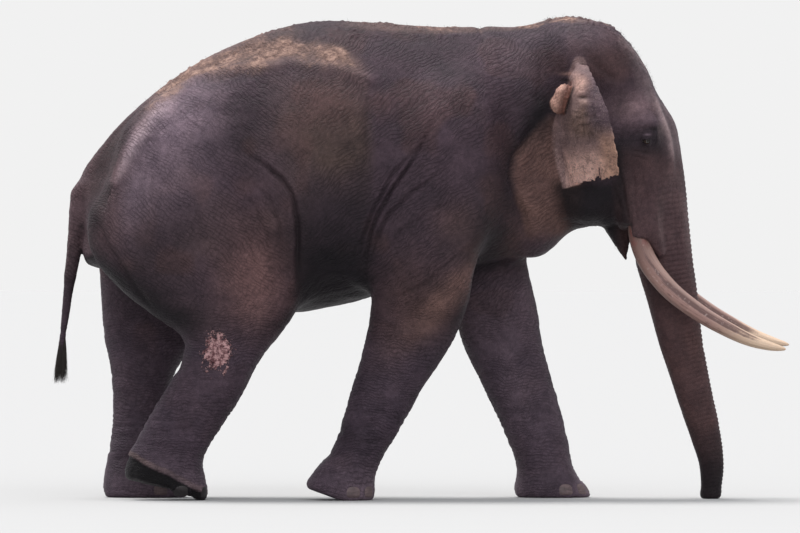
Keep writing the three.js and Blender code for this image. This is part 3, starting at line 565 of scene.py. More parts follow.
def refined(points, quads, others, wanted):
    """Splits the wanted quads in four. Neighbours take the new corners into their edges."""
    after = np.roll(quads, -1, axis=1)
    pairs = np.sort(np.stack([quads, after], -1).reshape(-1, 2), axis=1)
    key = pairs[:, 0] * (len(points) + 1) + pairs[:, 1]
    _, first, edge = np.unique(key, return_index=True, return_inverse=True)
    edge = edge.reshape(-1, 4)
    split = np.zeros(len(first), bool)
    split[edge[wanted].ravel()] = True
    number = np.full(len(first), -1)
    number[split] = len(points) + np.arange(split.sum())
    ends = pairs[first[split]]
    middles = points[ends].mean(1)
    centres = points[quads[wanted]].mean(1)
    centre = len(points) + len(middles) + np.arange(len(centres))
    q, m = quads[wanted], number[edge[wanted]]
    small = [np.stack([q[:, k], m[:, k], centre, m[:, k - 1]], -1) for k in range(4)]
    touched = ~wanted & split[edge].any(1)
    for row in np.flatnonzero(touched):
        corners = []
        for k in range(4):
            corners.append(int(quads[row, k]))
            if split[edge[row, k]]:
                corners.append(int(number[edge[row, k]]))
        others.append(corners)
    kept = quads[~wanted & ~touched]
    return np.vstack([points, middles, centres]), np.vstack([kept] + small), others


# ---- noise and folds


def noise(p, scale, seed=0):
    """Smooth noise, about -1 to 1. scale is in bumps per metre, one number or one for each axis.
    The large whole numbers only mix the bits of a grid point's place into a value like a random one."""
    q = p * scale
    i = np.floor(q).astype(np.int64)
    f = q - i
    f = f * f * f * (f * (f * 6 - 15) + 10)
    total = np.zeros(len(p))
    for corner, share in cell_corners(f):
        at = (i + corner).T
        h = at[0] * 73856093 ^ at[1] * 19349663 ^ at[2] * 83492791 ^ (seed * 7919)
        h = ((h ^ (h >> 13)) * 1274126177) & 0x7FFFFFFF
        h = ((h ^ (h >> 15)) * 668265263) & 0x7FFFFFFF
        total += share * (h / 0x3FFFFFFF - 1)
    return total


def layered(p, scale, seed=0, layers=3):
    total = np.zeros(len(p))
    for k in range(layers):
        total += noise(p, np.asarray(scale) * 2.03**k, seed + 31 * k) * 0.5**k
    return total


def creases(p, scale, seed, width):
    """A net of narrow lines, 1 along a line and 0 between them."""
    return np.exp(-((noise(p, scale, seed) / width) ** 2))


def along(p, line, width):
    """How close points are to a line drawn from the side, 0 to 1, and their signed distance from it."""
    line = np.asarray(line, float)
    q = p[:, [0, 2]]
    best = np.full(len(p), 9.0)
    signed = np.full(len(p), 9.0)
    low, high = line.min(0) - 3 * width, line.max(0) + 3 * width
    near = np.flatnonzero(((q > low) & (q < high)).all(1))
    total = np.linalg.norm(np.diff(line, axis=0), axis=1).sum()
    done = 0.0
    fade = np.zeros(len(p))
    for a, b in zip(line[:-1], line[1:]):
        d = b - a
        size = np.linalg.norm(d)
        t = np.clip(((q[near] - a) @ d) / size**2, 0, 1)
        off = q[near] - a - t[:, None] * d
        far = np.linalg.norm(off, axis=1)
        closer = far < best[near]
        rows = near[closer]
        best[rows] = far[closer]
        signed[rows] = (far * np.sign(d[0] * off[:, 1] - d[1] * off[:, 0]))[closer]
        s = (done + t[closer] * size) / total
        fade[rows] = np.clip(5 * s * (1 - s), 0, 1)
        done += size
    return np.exp(-((best / width) ** 2)) * fade, signed


def fold(p, line, width, depth):
    """A fold of the hide along a line drawn from the side: a groove with a soft roll on each side of it."""
    wobble = p + 0.35 * width * np.stack([noise(p, 9, 5), 0 * p[:, 0], noise(p, 9, 6)], -1)
    close, signed = along(wobble, line, width * 2.2)
    across = signed / width
    return depth * (close * (0.45 - 1.45 * np.exp(-(across**2))))


# ---- relief of the hide

# lines drawn from the side, as x and z
NECK_EDGE = [(0.64, 1.50), (0.62, 1.70), (0.56, 1.82), (0.535, 1.94), (0.56, 2.05), (0.64, 2.17)]
NECK_EDGE += [(0.71, 2.28), (0.80, 2.36)]
GROIN = [(-1.05, 2.08), (-0.94, 2.00), (-0.84, 1.92), (-0.77, 1.82), (-0.735, 1.66), (-0.73, 1.45)]
GROIN += [(-0.73, 1.24)]
ARMPIT = [(0.09, 2.29), (0.05, 2.21), (-0.05, 2.03), (-0.19, 1.82), (-0.29, 1.61), (-0.33, 1.43)]
ARMPIT += [(-0.33, 1.30)]
FLANK_FOLDS = [  # each with its width and depth
    (GROIN, 0.018, 0.018),
    ([(-1.02, 1.90), (-0.90, 1.80), (-0.84, 1.64), (-0.83, 1.42)], 0.015, 0.006),
    (ARMPIT, 0.014, 0.015),
    ([(0.00, 2.12), (-0.17, 1.94), (-0.28, 1.73), (-0.354, 1.54), (-0.38, 1.42)], 0.013, 0.012),
    ([(0.17, 1.98), (-0.05, 1.84), (-0.19, 1.70), (-0.28, 1.52), (-0.31, 1.38)], 0.014, 0.011),
    ([(0.03, 2.11), (-0.10, 1.95), (-0.23, 1.77), (-0.32, 1.58)], 0.010, 0.008),
    ([(0.25, 1.80), (0.05, 1.72), (-0.12, 1.60), (-0.25, 1.42)], 0.012, 0.006),
    ([(-1.10, 1.86), (-0.98, 1.74), (-0.91, 1.58), (-0.90, 1.40)], 0.015, 0.005),
    ([(-1.20, 1.78), (-1.08, 1.66), (-1.00, 1.50), (-0.98, 1.34)], 0.015, 0.004),
    ([(-0.31, 2.50), (-0.325, 2.30), (-0.33, 2.10), (-0.35, 1.90)], 0.030, 0.006),
    ([(0.36, 1.56), (0.20, 1.44), (0.05, 1.30), (-0.12, 1.22), (-0.28, 1.20)], 0.016, 0.006),
    ([(-1.93, 1.72), (-1.86, 1.52), (-1.72, 1.30), (-1.58, 1.12)], 0.020, 0.008),
    ([(-1.40, 0.98), (-1.30, 0.93), (-1.16, 0.92)], 0.016, 0.006),
    (NECK_EDGE, 0.030, 0.014),
    ([(0.72, 2.60), (0.69, 2.45), (0.70, 2.35)], 0.02, 0.006),
    ([(0.72, 1.50), (0.60, 1.46), (0.45, 1.44), (0.32, 1.38)], 0.018, 0.007),
]
FACE_FOLDS = [  # in the head's frame
    ([(1.205, 2.05), (1.212, 1.97), (1.232, 1.88), (1.245, 1.78), (1.262, 1.68)], 0.010, 0.007),
    ([(1.16, 2.03), (1.165, 1.93), (1.19, 1.83), (1.23, 1.72)], 0.012, 0.005),
    ([(1.28, 2.02), (1.30, 1.90), (1.30, 1.76), (1.32, 1.62)], 0.012, 0.0035),
    ([(1.455, 2.12), (1.46, 1.95), (1.455, 1.78), (1.47, 1.6)], 0.024, 0.005),
    ([(1.33, 2.214), (1.38, 2.226), (1.44, 2.220)], 0.013, 0.008),
    ([(1.26, 2.16), (1.30, 2.195), (1.33, 2.202)], 0.010, 0.004),
    ([(1.27, 2.10), (1.32, 2.082), (1.38, 2.072), (1.43, 2.08)], 0.012, 0.0045),
    ([(1.29, 2.060), (1.34, 2.042), (1.40, 2.03)], 0.011, 0.003),
    ([(1.10, 2.20), (1.115, 2.14), (1.14, 2.08)], 0.009, 0.008),
    ([(1.00, 2.70), (1.07, 2.60), (1.16, 2.53), (1.26, 2.50)], 0.03, 0.006),
]
FACE_RIDGE = [(1.403, 2.466), (1.421, 2.388), (1.445, 2.310), (1.469, 2.250), (1.493, 2.190), (1.505, 2.142)]
FACE_RIDGE += [(1.514, 2.070), (1.518, 1.990), (1.530, 1.900)]
HIP_RIDGE = [(-1.82, 1.90), (-1.76, 2.06), (-1.69, 2.18), (-1.57, 2.36), (-1.33, 2.525)]
HIP_RIDGE += [(-1.09, 2.58), (-0.79, 2.60), (-0.49, 2.57), (-0.31, 2.50)]
# height and x of the trunk's middle in the head's frame
TRUNK_MIDDLE = [(2.3, 1.345), (2.088, 1.369), (1.848, 1.405), (1.608, 1.438), (1.416, 1.462), (1.188, 1.510)]
TRUNK_MIDDLE += [(0.948, 1.556), (0.708, 1.615), (0.468, 1.680), (0.228, 1.737), (-0.1, 1.735)]
RING_TOP = 2.35  # height that the rings are counted down from
RING_PITCH = 0.036


def trunk_rings(p, own):
    """Wavy rings round the trunk: wide and shallow high up, close and sharp towards its tip."""
    z = own[:, 2]
    levels, middles = np.array(TRUNK_MIDDLE).T
    lean = own[:, 0] - np.interp(z, levels[::-1], middles[::-1])
    down = RING_TOP - z + 0.22 * lean + 0.006 * noise(p, 7, 41) + 0.003 * noise(p, 19, 42)
    phase = 2 * np.pi * (down / RING_PITCH + 0.12 * down**2 / RING_PITCH)
    ring = np.abs(np.sin(phase / 2 + 0.8 * noise(p, [3, 3, 1.2], 43)))
    front = ramp(-0.06, 0.10, lean)
    reach = ramp(2.12, 1.7, z) * ramp(1.17, 1.32, own[:, 0]) * (z < 2.2)
    gone = ramp(0.0, 0.05, z)
    depth = (0.0075 - 0.002 * ramp(1.2, 0.1, z)) * (0.16 + 0.84 * front) * reach * gone
    return depth * (np.sqrt(ring) - 0.8)


def relief(p, n, own):
    """How far each point of the hide stands out from the smooth body."""
    x, y, z = p.T
    side = y - MIDPLANE
    off = np.abs(side)
    hx, hy, hz = own.T
    wide = np.abs(hy)
    on_head = ramp(0.72, 0.95, x) * ramp(1.25, 1.5, z)
    on_trunk = ramp(1.25, 1.4, hx) * ramp(2.2, 1.9, hz)
    leg = ramp(1.35, 0.95, z) * (x < 1.1)
    low_leg = ramp(0.75, 0.45, z) * (x < 1.1)
    top = ramp(0.25, 0.9, n[:, 2]) * ramp(1.9, 2.3, z)
    beside = ramp(0.1, 0.3, off)
    # muscles, bones and hollows under the hide
    out = 0.006 * layered(p, 2.6, 1, 2) * (1 - 0.8 * on_trunk)
    out += 0.007 * bell(side, 0, 0.045) * ramp(-1.9, -1.5, x) * ramp(0.75, 0.4, x) * top
    out += 0.012 * spot(p, (-1.42, 2.27), (0.16, 0.15)) * beside
    _, off_ridge = along(p, HIP_RIDGE, 0.16)
    hollow = 0.024 * bell(off_ridge, 0.10, 0.07) * ramp(-0.5, -1.1, x) * ramp(0.06, 0.14, off)
    out += (np.abs(off_ridge) < 0.5) * (0.013 * bell(off_ridge, 0.0, 0.035) - hollow)
    out -= 0.012 * spot(p, (-1.02, 2.25), (0.16, 0.2)) * beside
    out += 0.012 * bell(x - 0.25 * (2.2 - z), 0.13, 0.09) * bell(z, 2.3, 0.3) * beside
    out -= 0.010 * spot(p, (0.50, 2.25), (0.1, 0.3))
    # long folds
    for line, width, depth in FLANK_FOLDS:
        out += fold(p, line, width, depth) * ramp(0.12, 0.2, off)
    for line, width, depth in FACE_FOLDS:
        out += fold(mirrored(own), line, width, depth) * ramp(0.05, 0.11, wide)
    # wrinkles: a net over the body, upright on the thighs, level on the shanks
    body = (1 - on_trunk) * (1 - 0.5 * top) * (1 - on_head)
    forward = ramp(-0.95, -0.45, x)
    for weight, way in ((1 - forward, -0.64), (forward, 0.64)):
        # they run down to the tail's side, then to the head's
        slant = np.stack([0.77 * x + way * z, y, 0.77 * z - way * x], -1)
        wrinkle = 0.0022 * creases(slant, [4, 9, 12], 11, 0.12)
        wrinkle += 0.0020 * creases(slant, [9, 17, 27], 12, 0.17)
        out -= weight * wrinkle * body * (1 - leg) * (0.7 + 0.6 * noise(p, 1.7, 13))
    thigh = spot(p, (-1.45, 1.5), (0.4, 0.4)) + spot(p, (0.1, 1.55), (0.25, 0.35))
    on_face = on_head * (1 - on_trunk)
    for at, depth, scale, seed, width, room in (
        (p, 0.0030, [13, 13, 3.2], 14, 0.16, thigh),
        (p, 0.0030, [3.2, 3.2, 13], 15, 0.13, leg),
        (p, 0.0026, [7, 7, 26], 16, 0.16, leg),
        (p, 0.0038, [3, 3, 20], 17, 0.15, low_leg * ramp(0.1, 0.2, z)),
        (p, 0.0040, [9, 9, 24], 19, 0.18, spot(p, (0.48, 1.47), (0.22, 0.14))),
        (p, 0.0030, [5, 5, 44], 18, 0.18, low_leg * ramp(0.15, 0.25, z)),
        (own, 0.0018, [16, 16, 30], 21, 0.16, on_face),
        (own, 0.0016, [36, 36, 14], 22, 0.2, on_head * ramp(2.1, 1.9, hz)),
    ):
        out -= depth * creases(at, scale, seed, width) * room
    # the brow, the hollows in front of the eye, over it and behind it, and the ridge down the face
    high = ramp(0.06, 0.13, wide) * (hx > 0.9)
    for depth, place, size in (
        (0.015, (1.36, 2.262), (0.10, 0.035)),
        (-0.014, (1.44, 2.15), (0.04, 0.10)),
        (-0.012, (1.22, 2.36), (0.08, 0.10)),
        (-0.010, (1.17, 2.02), (0.05, 0.09)),
    ):
        out += depth * spot(own, place, size) * high
    close, off_face = along(own, FACE_RIDGE, 0.05)
    out += close * (0.013 * bell(off_face, 0, 0.017) - 0.006 * bell(np.abs(off_face), 0.035, 0.018)) * high
    out += trunk_rings(p, own)
    # clods of dry earth on the back and the crown
    earthy = top * ramp(-0.2, 0.25, noise(p, 3.1, 52) + 0.25)
    out += 0.016 * np.clip(layered(p, 26, 51, 2) - 0.35, 0, 1) * earthy
    # the end of the trunk flares to its lips
    return out + 0.006 * bell(hz, 0.03, 0.03) * on_trunk


LID_OPEN = (0.0215, 0.0125)  # half the eye's opening, along it and across it
LID_TILT = math.radians(-14)
LID_THICK = 0.0042
LID_ROOM = 0.085  # how far round an eye the hide is drawn into lids


def eyelids(p, own, eyes):
    """Moves the hide round each eye into lids that lie on the ball, parted to show it."""
    p = p.copy()
    for name, sign in SIDES.items():
        middle = to_head(eyes[name][None])[0]
        u = own[:, 0] - middle[0]
        v = own[:, 2] - middle[2]
        out = (own[:, 1] - middle[1]) * sign
        rows = np.flatnonzero((u * u + v * v < LID_ROOM**2) & (out > -0.06))
        u, v, out = u[rows], v[rows], out[rows]
        a = u * math.cos(LID_TILT) + v * math.sin(LID_TILT)
        b = -u * math.sin(LID_TILT) + v * math.cos(LID_TILT)
        r = np.hypot(a, b)
        lid_radius = EYE_RADIUS + LID_THICK
        ball = np.sqrt(np.clip(lid_radius**2 - r * r, 0, None)) - 0.03 * ramp(0.6, 1, r / lid_radius)
        rolls = 0.0011 * np.cos(2 * np.pi * (np.hypot(a / 1.25, b) - 0.0165) / 0.0085) * bell(r, 0.034, 0.016)
        lid = soft_max(out + rolls, ball, 0.012)
        edge = 1 - (np.abs(a) / LID_OPEN[0]) ** 2.2
        half = LID_OPEN[1] * np.clip(edge, 0, 1) ** 0.8 * np.where(b > 0, 0.85, 1.0)
        gap = np.where(edge > 0, np.abs(b) - half, 0.02)
        rim = 0.0022 * bell(gap, 0.002, 0.0022) * (edge > 0)
        inside = ramp(0.0012, -0.0012, gap)
        deep = np.sqrt(np.clip((EYE_RADIUS - 0.004) ** 2 - r * r, 0, None))
        new = (lid + rim) * (1 - inside) + deep * inside
        fade = ramp(LID_ROOM, 0.055, r)
        own_rows = own[rows].copy()
        own_rows[:, 1] = middle[1] + sign * (out + (new - out) * fade)
        p[rows] = from_head(own_rows)
    return p


# ---- markings


def rgb(*values):
    return np.array(values)


HIDE = rgb(0.070, 0.046, 0.061)
HIDE_RED = rgb(0.108, 0.059, 0.058)
HIDE_OLIVE = rgb(0.092, 0.061, 0.056)
HIDE_PURPLE = rgb(0.077, 0.055, 0.077)
HIDE_PALE = rgb(0.225, 0.165, 0.205)
HIDE_DARK = rgb(0.010, 0.008, 0.011)
FACE_PALE = rgb(0.460, 0.345, 0.350)
NECK_TAN = rgb(0.210, 0.119, 0.104)
DUST_FILM = rgb(0.290, 0.185, 0.155)
SOLE_RIM = rgb(0.170, 0.118, 0.110)
EAR_BASE = rgb(0.270, 0.178, 0.180)
EAR_LOW = rgb(0.940, 0.600, 0.520)
EAR_FRONT = rgb(0.660, 0.385, 0.275)
EAR_TOP = rgb(0.640, 0.400, 0.345)
EAR_BACK_LOBE = rgb(0.820, 0.480, 0.380)
EAR_ROUGH = rgb(0.205, 0.130, 0.110)
EAR_CREASE = ((1.008, 2.408), (0.035, 0.011))  # place and size
EAR_LUMP = ((1.020, 2.378), (0.030, 0.018))
EAR_LOWEST = ((0.862, 0.970, 1.240), (1.862, 1.896, 1.900))  # x and height along its lower edge
LOBE_FRONT = ((2.316, 2.472), (0.898, 0.949))  # height and x where the fold behind it ends
DUST_REACH = ((-0.95, -0.60, -0.35, -0.25), (0.14, 0.12, 0.05, 0.0))  # x, and how far up the dust begins
EYE_SHADE = (1.36, 2.12)
SCAB = ((-1.215, 0.878), (0.105, 0.140))


def painted(tint, coats):
    """The tint after each coat in turn, given as a colour and how much it covers, 0 to 1."""
    for colour, amount in coats:
        tint = tint + (colour - tint) * np.clip(amount, 0, 1)[:, None]
    return tint


def ear_place(own):
    """How far points are from the ears' sheets, and their place across and down the sheet."""
    down, across = np.meshgrid(np.linspace(0, 1, 40), np.linspace(0, 1, 30), indexing="ij")
    sheet = ear_points(across, down).reshape(-1, 3)
    left = mirrored(own)
    far = np.full(len(own), 9.0)
    best = np.zeros(len(own), int)
    near = np.flatnonzero((left[:, 0] > 0.72) & (left[:, 0] < 1.3) & (left[:, 2] > 1.8) & (left[:, 1] > 0.2))
    for part in np.array_split(near, max(1, len(near) // 20000)):
        d = ((left[part][:, None, :] - sheet[None]) ** 2).sum(-1)
        best[part] = d.argmin(1)
        far[part] = np.sqrt(d[np.arange(len(part)), best[part]])
    return far, across.ravel()[best], down.ravel()[best]


SOLE_FRONT = -1.287  # x where the raised sole's rim is lowest, its height there and its slope
SOLE_LOW = 0.042
SOLE_SLOPE = 0.496


def under_hind_foot(p):
    """1 on the pad that shows under the rim of the raised right hind foot, where shade is painted."""
    rim = SOLE_LOW + SOLE_SLOPE * (SOLE_FRONT - p[:, 0]) + 0.006 * noise(p, 14, 55)
    near = (p[:, 0] < -1.22) & (p[:, 0] > -1.85) & (p[:, 1] < MIDPLANE) & (p[:, 2] < 0.4)
    return ramp(0.004, -0.008, p[:, 2] - rim) * near


def ear_colours(own, across, patch):
    hx, _, hz = own.T
    ragged = 0.035 * patch
    front = ramp(1.06, 1.16, hx + ragged) * ramp(2.28, 2.10, hz + ragged)
    edge = ramp(0.62, 0.80, across + 0.5 * ragged) * ramp(2.16, 2.28, hz)
    rough = 1.5 * spot(own, (1.03, 2.26), (0.11, 0.095)) + 0.3 * patch * (hz > 2.1)
    net = creases(own, [26, 8, 26], 91, 0.16) * spot(own, (1.03, 2.24), (0.12, 0.12))
    skin = painted(np.repeat(EAR_BASE[None], len(own), 0), (
        (EAR_LOW, ramp(2.16, 2.00, hz + ragged)),
        (EAR_FRONT, front * 0.8),
        (EAR_ROUGH, rough),
        (HIDE * 1.4, 0.9 * edge),
        (EAR_BASE * 0.9, 0.9 * ramp(0.20, 0.10, across) * ramp(2.3, 2.2, hz)),
        # pink skin on the fold near the ear's top, painted paler as a highlight
        (EAR_TOP, 1.2 * spot(own, (0.990, 2.490), (0.050, 0.060))),
    ))
    return painted(skin * (1 - 0.62 * net[:, None]), (
        # painted shade in the crease above the pale lump
        (EAR_ROUGH * 0.2, 0.9 * spot(own, *EAR_CREASE)),
        (EAR_BASE * [1.6, 1.6, 1.4], 0.9 * spot(own, *EAR_LUMP)),
        (EAR_BASE * 0.8, ramp(2.54, 2.60, hz + ragged) * 0.9),
    ))


def jaw_shade(own):
    """1 where shadow is painted: under the ear and along the jaw."""
    hx, _, hz = own.T
    high = ramp(0.80, 0.92, hx + 0.25 * (hz - 1.7)) * ramp(1.30, 1.21, hx) * ramp(1.95, 1.86, hz)
    low = ramp(1.60, 1.54, hz) * (hx > 1.0) * ramp(1.29, 1.25, hx)
    return np.maximum(high, low) * (hz > 1.3)


def markings(p, n, own, stand):
    """The colour of the hide at each point, with painted shade and painted highlights, and its dust, freckled
    skin and scab.
    """
    x, y, z = p.T
    side = y - MIDPLANE
    off = np.abs(side)
    hx, hy, hz = own.T
    wide = np.abs(hy)
    blotch, patch = layered(p, 1.9, 71, 3), layered(p, 4.2, 72, 2)
    outward = n[:, 1] * np.sign(side)
    outer = ramp(0.0, 0.5, outward)
    upward = ramp(0.3, 0.9, n[:, 2]) * ramp(1.9, 2.2, z)
    cheek = ramp(0.1, 0.2, wide)
    ear_side = ramp(0.2, 0.26, wide)
    # the back, the flank and the rump, painted pale as sheen, with a painted highlight on its lit ridge and
    # painted light on the tops
    over = z - np.interp(x, *np.array(HIP_RIDGE).T)
    paunch = spot(p, (-0.5, 2.2), (0.45, 0.35)) * ramp(-0.24, -0.36, x + 0.02 * patch)
    ridge = bell(over, -0.05, 0.06) * ramp(-1.4, -1.6, x) * ramp(1.85, 1.95, z)
    tint = painted(np.repeat(HIDE[None], len(p), 0), (
        (HIDE_OLIVE, 0.9 * paunch + 0.4 * (blotch - 0.2)),
        (HIDE_RED * 2.1, 0.9 * spot(p, (-0.98, 1.3), (0.20, 0.32))),
        (HIDE_RED, 0.45 * ramp(0.1, 0.6, patch)),
        (HIDE_RED, 0.7 * spot(p, (-0.05, 1.15), (0.25, 0.3)) + 0.6 * (hx > 1.3) * ramp(1.6, 0.9, z)),
        (HIDE_RED, 0.8 * spot(p, (-0.55, 2.36), (0.2, 0.16))),
        (HIDE_PALE, 0.95 * ramp(-1.0, -1.5, x) * bell(over, -0.32, 0.34) * ramp(1.3, 1.8, z)),
        (HIDE_PALE, 0.12 * upward),
        (HIDE_PALE * [2.1, 2.2, 2.0], 0.8 * ridge),
    ))
    # painted shade darkens the tops of the back forward of the hips
    tint *= 1 - 0.30 * (upward * ramp(-1.2, -0.8, x))[:, None]
    # the bare tan neck behind the ear with painted shade along the fold at its edge, tan places on chest and
    # forearm, and painted shade in the hollow of the flank
    edge_x, edge_z = np.array(NECK_EDGE).T
    off_neck = x - np.interp(z, edge_z, edge_x)
    tan = ramp(-0.015, 0.03, off_neck + 0.02 * patch) * ramp(1.0, 0.9, x)
    tan = tan * ramp(1.50, 1.66, z) * ramp(2.32, 2.24, z + 0.02 * patch)
    hollow = ramp(-0.77, -0.71, x) * ramp(-0.20, -0.38, x) * ramp(2.02, 1.72, z) * (z > 1.0)
    slope = x - 0.85 * (z - 1.15) + 0.03 * patch
    tint = painted(tint, (
        (HIDE_DARK, 0.6 * bell(off_neck, -0.04, 0.06) * ramp(1.55, 1.8, z) * ramp(2.5, 2.35, z)),
        (NECK_TAN, 0.85 * tan),
        (NECK_TAN * 0.7, 0.7 * spot(p, (0.48, 1.47), (0.20, 0.13)) * (0.6 + 0.5 * patch)),
        (NECK_TAN, 0.28 * spot(p, (0.19, 1.66), (0.11, 0.11)) * outer),
        (HIDE_DARK, 0.45 * hollow * outer),
        (HIDE_RED, 0.6 * ramp(-1.68, -1.85, x) * ramp(1.3, 1.6, z)),
        (HIDE_PURPLE, 0.75 * ramp(1.15, 0.8, z) * (hx < 1.3)),
        (NECK_TAN * 1.45, 0.85 * bell(slope, 0.10, 0.11) * bell(z, 1.20, 0.24) * outer),
    ))
    # painted shade on the belly, the groin, under and behind the ear and round the eye. The legs' inner sides
    # are painted paler, as painted light
    under = ramp(0.05, -0.6, n[:, 2]) * ramp(0.9, 1.1, z) * ramp(0.66, 0.40, x)
    inner = ramp(0.2, 0.7, -outward) * ramp(1.5, 1.2, z) * ramp(0.15, 0.45, z)
    round_eye = np.hypot((hx - EYE_SHADE[0]) / 1.2, hz - EYE_SHADE[1])
    close, off_face = along(own, FACE_RIDGE, 0.05)
    lit = close * bell(off_face, 0.004, 0.017) * ramp(1.95, 2.1, hz) * ramp(0.09, 0.17, wide)
    front = ramp(0.45, 0.9, n[:, 0]) * ramp(1.2, 1.7, hz) * (hx > 1.2) * (wide < 0.24)
    crown = 0.35 * spot(p, (0.55, 2.60), (0.16, 0.16)) + 0.35 * spot(own, (0.99, 2.78), (0.2, 0.10))
    band = bell(hx - 0.12 * (1.9 - hz), 1.215, 0.042) * ramp(1.60, 1.66, hz) * ramp(2.20, 2.05, hz)
    tint = painted(tint, (
        (HIDE_DARK, 0.95 * under),
        (HIDE_DARK, 0.8 * spot(p, (-1.95, 1.70), (0.07, 0.14)) * ramp(0.05, 0.1, off)),
        (HIDE_PALE, 0.22 * inner * ramp(-1.0, -0.2, x) + 0.1 * inner),
        (HIDE_DARK * 0.7, 0.93 * jaw_shade(own)),
        (HIDE_DARK, 0.9 * spot(own, (0.74, 2.30), (0.10, 0.15)) * ramp(0.2, 0.3, wide)),
        # painted shade round the eye, behind it and under the brow, and a painted glint on the upper lid
        (HIDE_DARK, 0.70 * bell(round_eye, 0, 0.13) * ramp(2.25, 2.21, hz + 0.02 * patch) * cheek),
        (HIDE_DARK, 0.60 * spot(own, (1.20, 2.10), (0.09, 0.10)) * ramp(2.25, 2.20, hz) * cheek),
        (HIDE_DARK, 0.85 * spot(own, (1.425, 2.220), (0.055, 0.020)) * cheek),
        (HIDE_PALE, 0.8 * spot(own, (1.378, 2.185), (0.020, 0.007)) * cheek),
        # painted light on the temple
        (HIDE_PALE * [1.1, 1, 0.9], 0.95 * spot(own, (1.29, 2.350), (0.12, 0.085)) * cheek),
        # a painted highlight down the ridge of the face; the front of the face and trunk is pink skin,
        # painted paler as a highlight
        (FACE_PALE, 0.75 * lit),
        (FACE_PALE, 0.6 * front * (0.6 + 0.5 * patch)),
        (HIDE_RED, 0.7 * spot(own, (1.15, 2.62), (0.18, 0.14))),
        (HIDE_PALE, crown),
        (HIDE_RED, 0.6 * ramp(2.15, 2.0, hz) * ramp(1.15, 1.25, hx) * (x > 0.9)),
        # painted shade along the crease at the back of the cheek
        (HIDE_DARK, 0.75 * band * cheek),
    ))
    # a painted highlight on the raised foot's rim, the dark soles, painted shade on the raised foot's pad
    # under that rim, the trunk's dark tip and the feet's pale hide
    sole = ramp(-0.75, -0.95, n[:, 2]) * ramp(0.35, 0.2, z)
    pad = under_hind_foot(p)
    tint = painted(tint, (
        (SOLE_RIM, 0.7 * under_hind_foot(p - [0, 0, 0.035]) * (1 - pad)),
        (HIDE_DARK * 0.5, 0.97 * np.maximum(sole, pad)),
        (HIDE_DARK, 0.9 * ramp(0.60, 0.12, z) * (hx > 1.3)),
        (HIDE_PALE, 0.60 * ramp(0.34, 0.05, z) * (hx < 1.3) * (1 - pad) * (0.6 + blotch)),
    ))
    # painted shade in the creases and painted light on the ridges
    tint *= 1 + np.clip(stand * 26, -0.42, 0.25)[:, None]
    # dust lies above the hip ridge, but not on the hump further forward, and on the crown
    loose = over + 0.045 * layered(p, 5, 74, 3)
    spots = 0.5 + 0.5 * layered(p, 6, 75, 3)
    hump = ramp(-0.02, 0.09, loose - np.interp(x, *DUST_REACH)) * ramp(-1.10, -0.76, x + 0.10 * patch)
    back = ramp(-0.07, 0.05, loose) * (1 - hump) * ramp(-1.78, -1.45, x) * ramp(-0.24, -0.50, x)
    spine = ramp(0.85, 0.98, n[:, 2]) * ramp(2.0, 2.2, z) * ramp(-0.55, -0.35, x)
    dust = 0.52 * back * (0.45 + 0.9 * spots) + 0.42 * spine * spots
    dust += 0.42 * ramp(0.5, 0.9, n[:, 2]) * ramp(2.6, 2.8, z) * ramp(0.5, 0.7, x) * spots
    # the ears, down to their ragged lower edge, and the folds behind their roots, with painted shade on the
    # front of each fold, in the slit beside it and in the crease above it
    far, across, _ = ear_place(own)
    lowest = np.interp(hx, *EAR_LOWEST) + 0.006 * patch
    ear = ramp(0.05, 0.03, far) * ramp(0.0, 0.06, across) * ramp(-0.006, 0.006, hz - lowest)
    fold_line = hx - np.interp(hz, *LOBE_FRONT)
    lobe = ramp(0.014, 0.0, lobe_distance(own)) * ramp(0.76, 0.80, hx) * ramp(0.006, -0.006, fold_line)
    shade = ramp(-0.07, -0.005, fold_line + 0.015 * patch)
    slit = bell(fold_line, 0.002, 0.007) * (hz > 2.31) * (hz < 2.475)
    tint = painted(tint, (
        (DUST_FILM, 0.75 * back * (0.6 + 0.4 * spots) + 0.35 * spine),
        (ear_colours(own, across, patch), ear),
        (EAR_BACK_LOBE, lobe * (1 - shade)),
        (EAR_BACK_LOBE * [0.34, 0.26, 0.25], lobe * shade),
        (HIDE_DARK, 0.9 * slit * ramp(0.3, 0.36, wide)),
        (EAR_TOP, 0.5 * spot(own, (0.912, 2.548), (0.045, 0.010)) * ear_side),
        (HIDE_DARK, 0.8 * spot(own, (0.895, 2.512), (0.04, 0.013)) * ear_side),
    ))
    freckled = np.maximum(ear * (0.6 + 0.4 * ramp(2.2, 2.0, hz)), 0.6 * lobe)
    # the scab on the right hind leg
    (scab_x, scab_z), (scab_wide, scab_high) = SCAB
    scab = np.hypot((x - scab_x) / scab_wide, (z - scab_z) / scab_high) + 0.2 * layered(p, 14, 81, 3)
    scab = ramp(1.4, 0.1, scab) * (n[:, 1] < 0) * (side < -0.1)
    return tint, np.stack([np.clip(dust, 0, 1), freckled, scab], -1)


# ---- materials


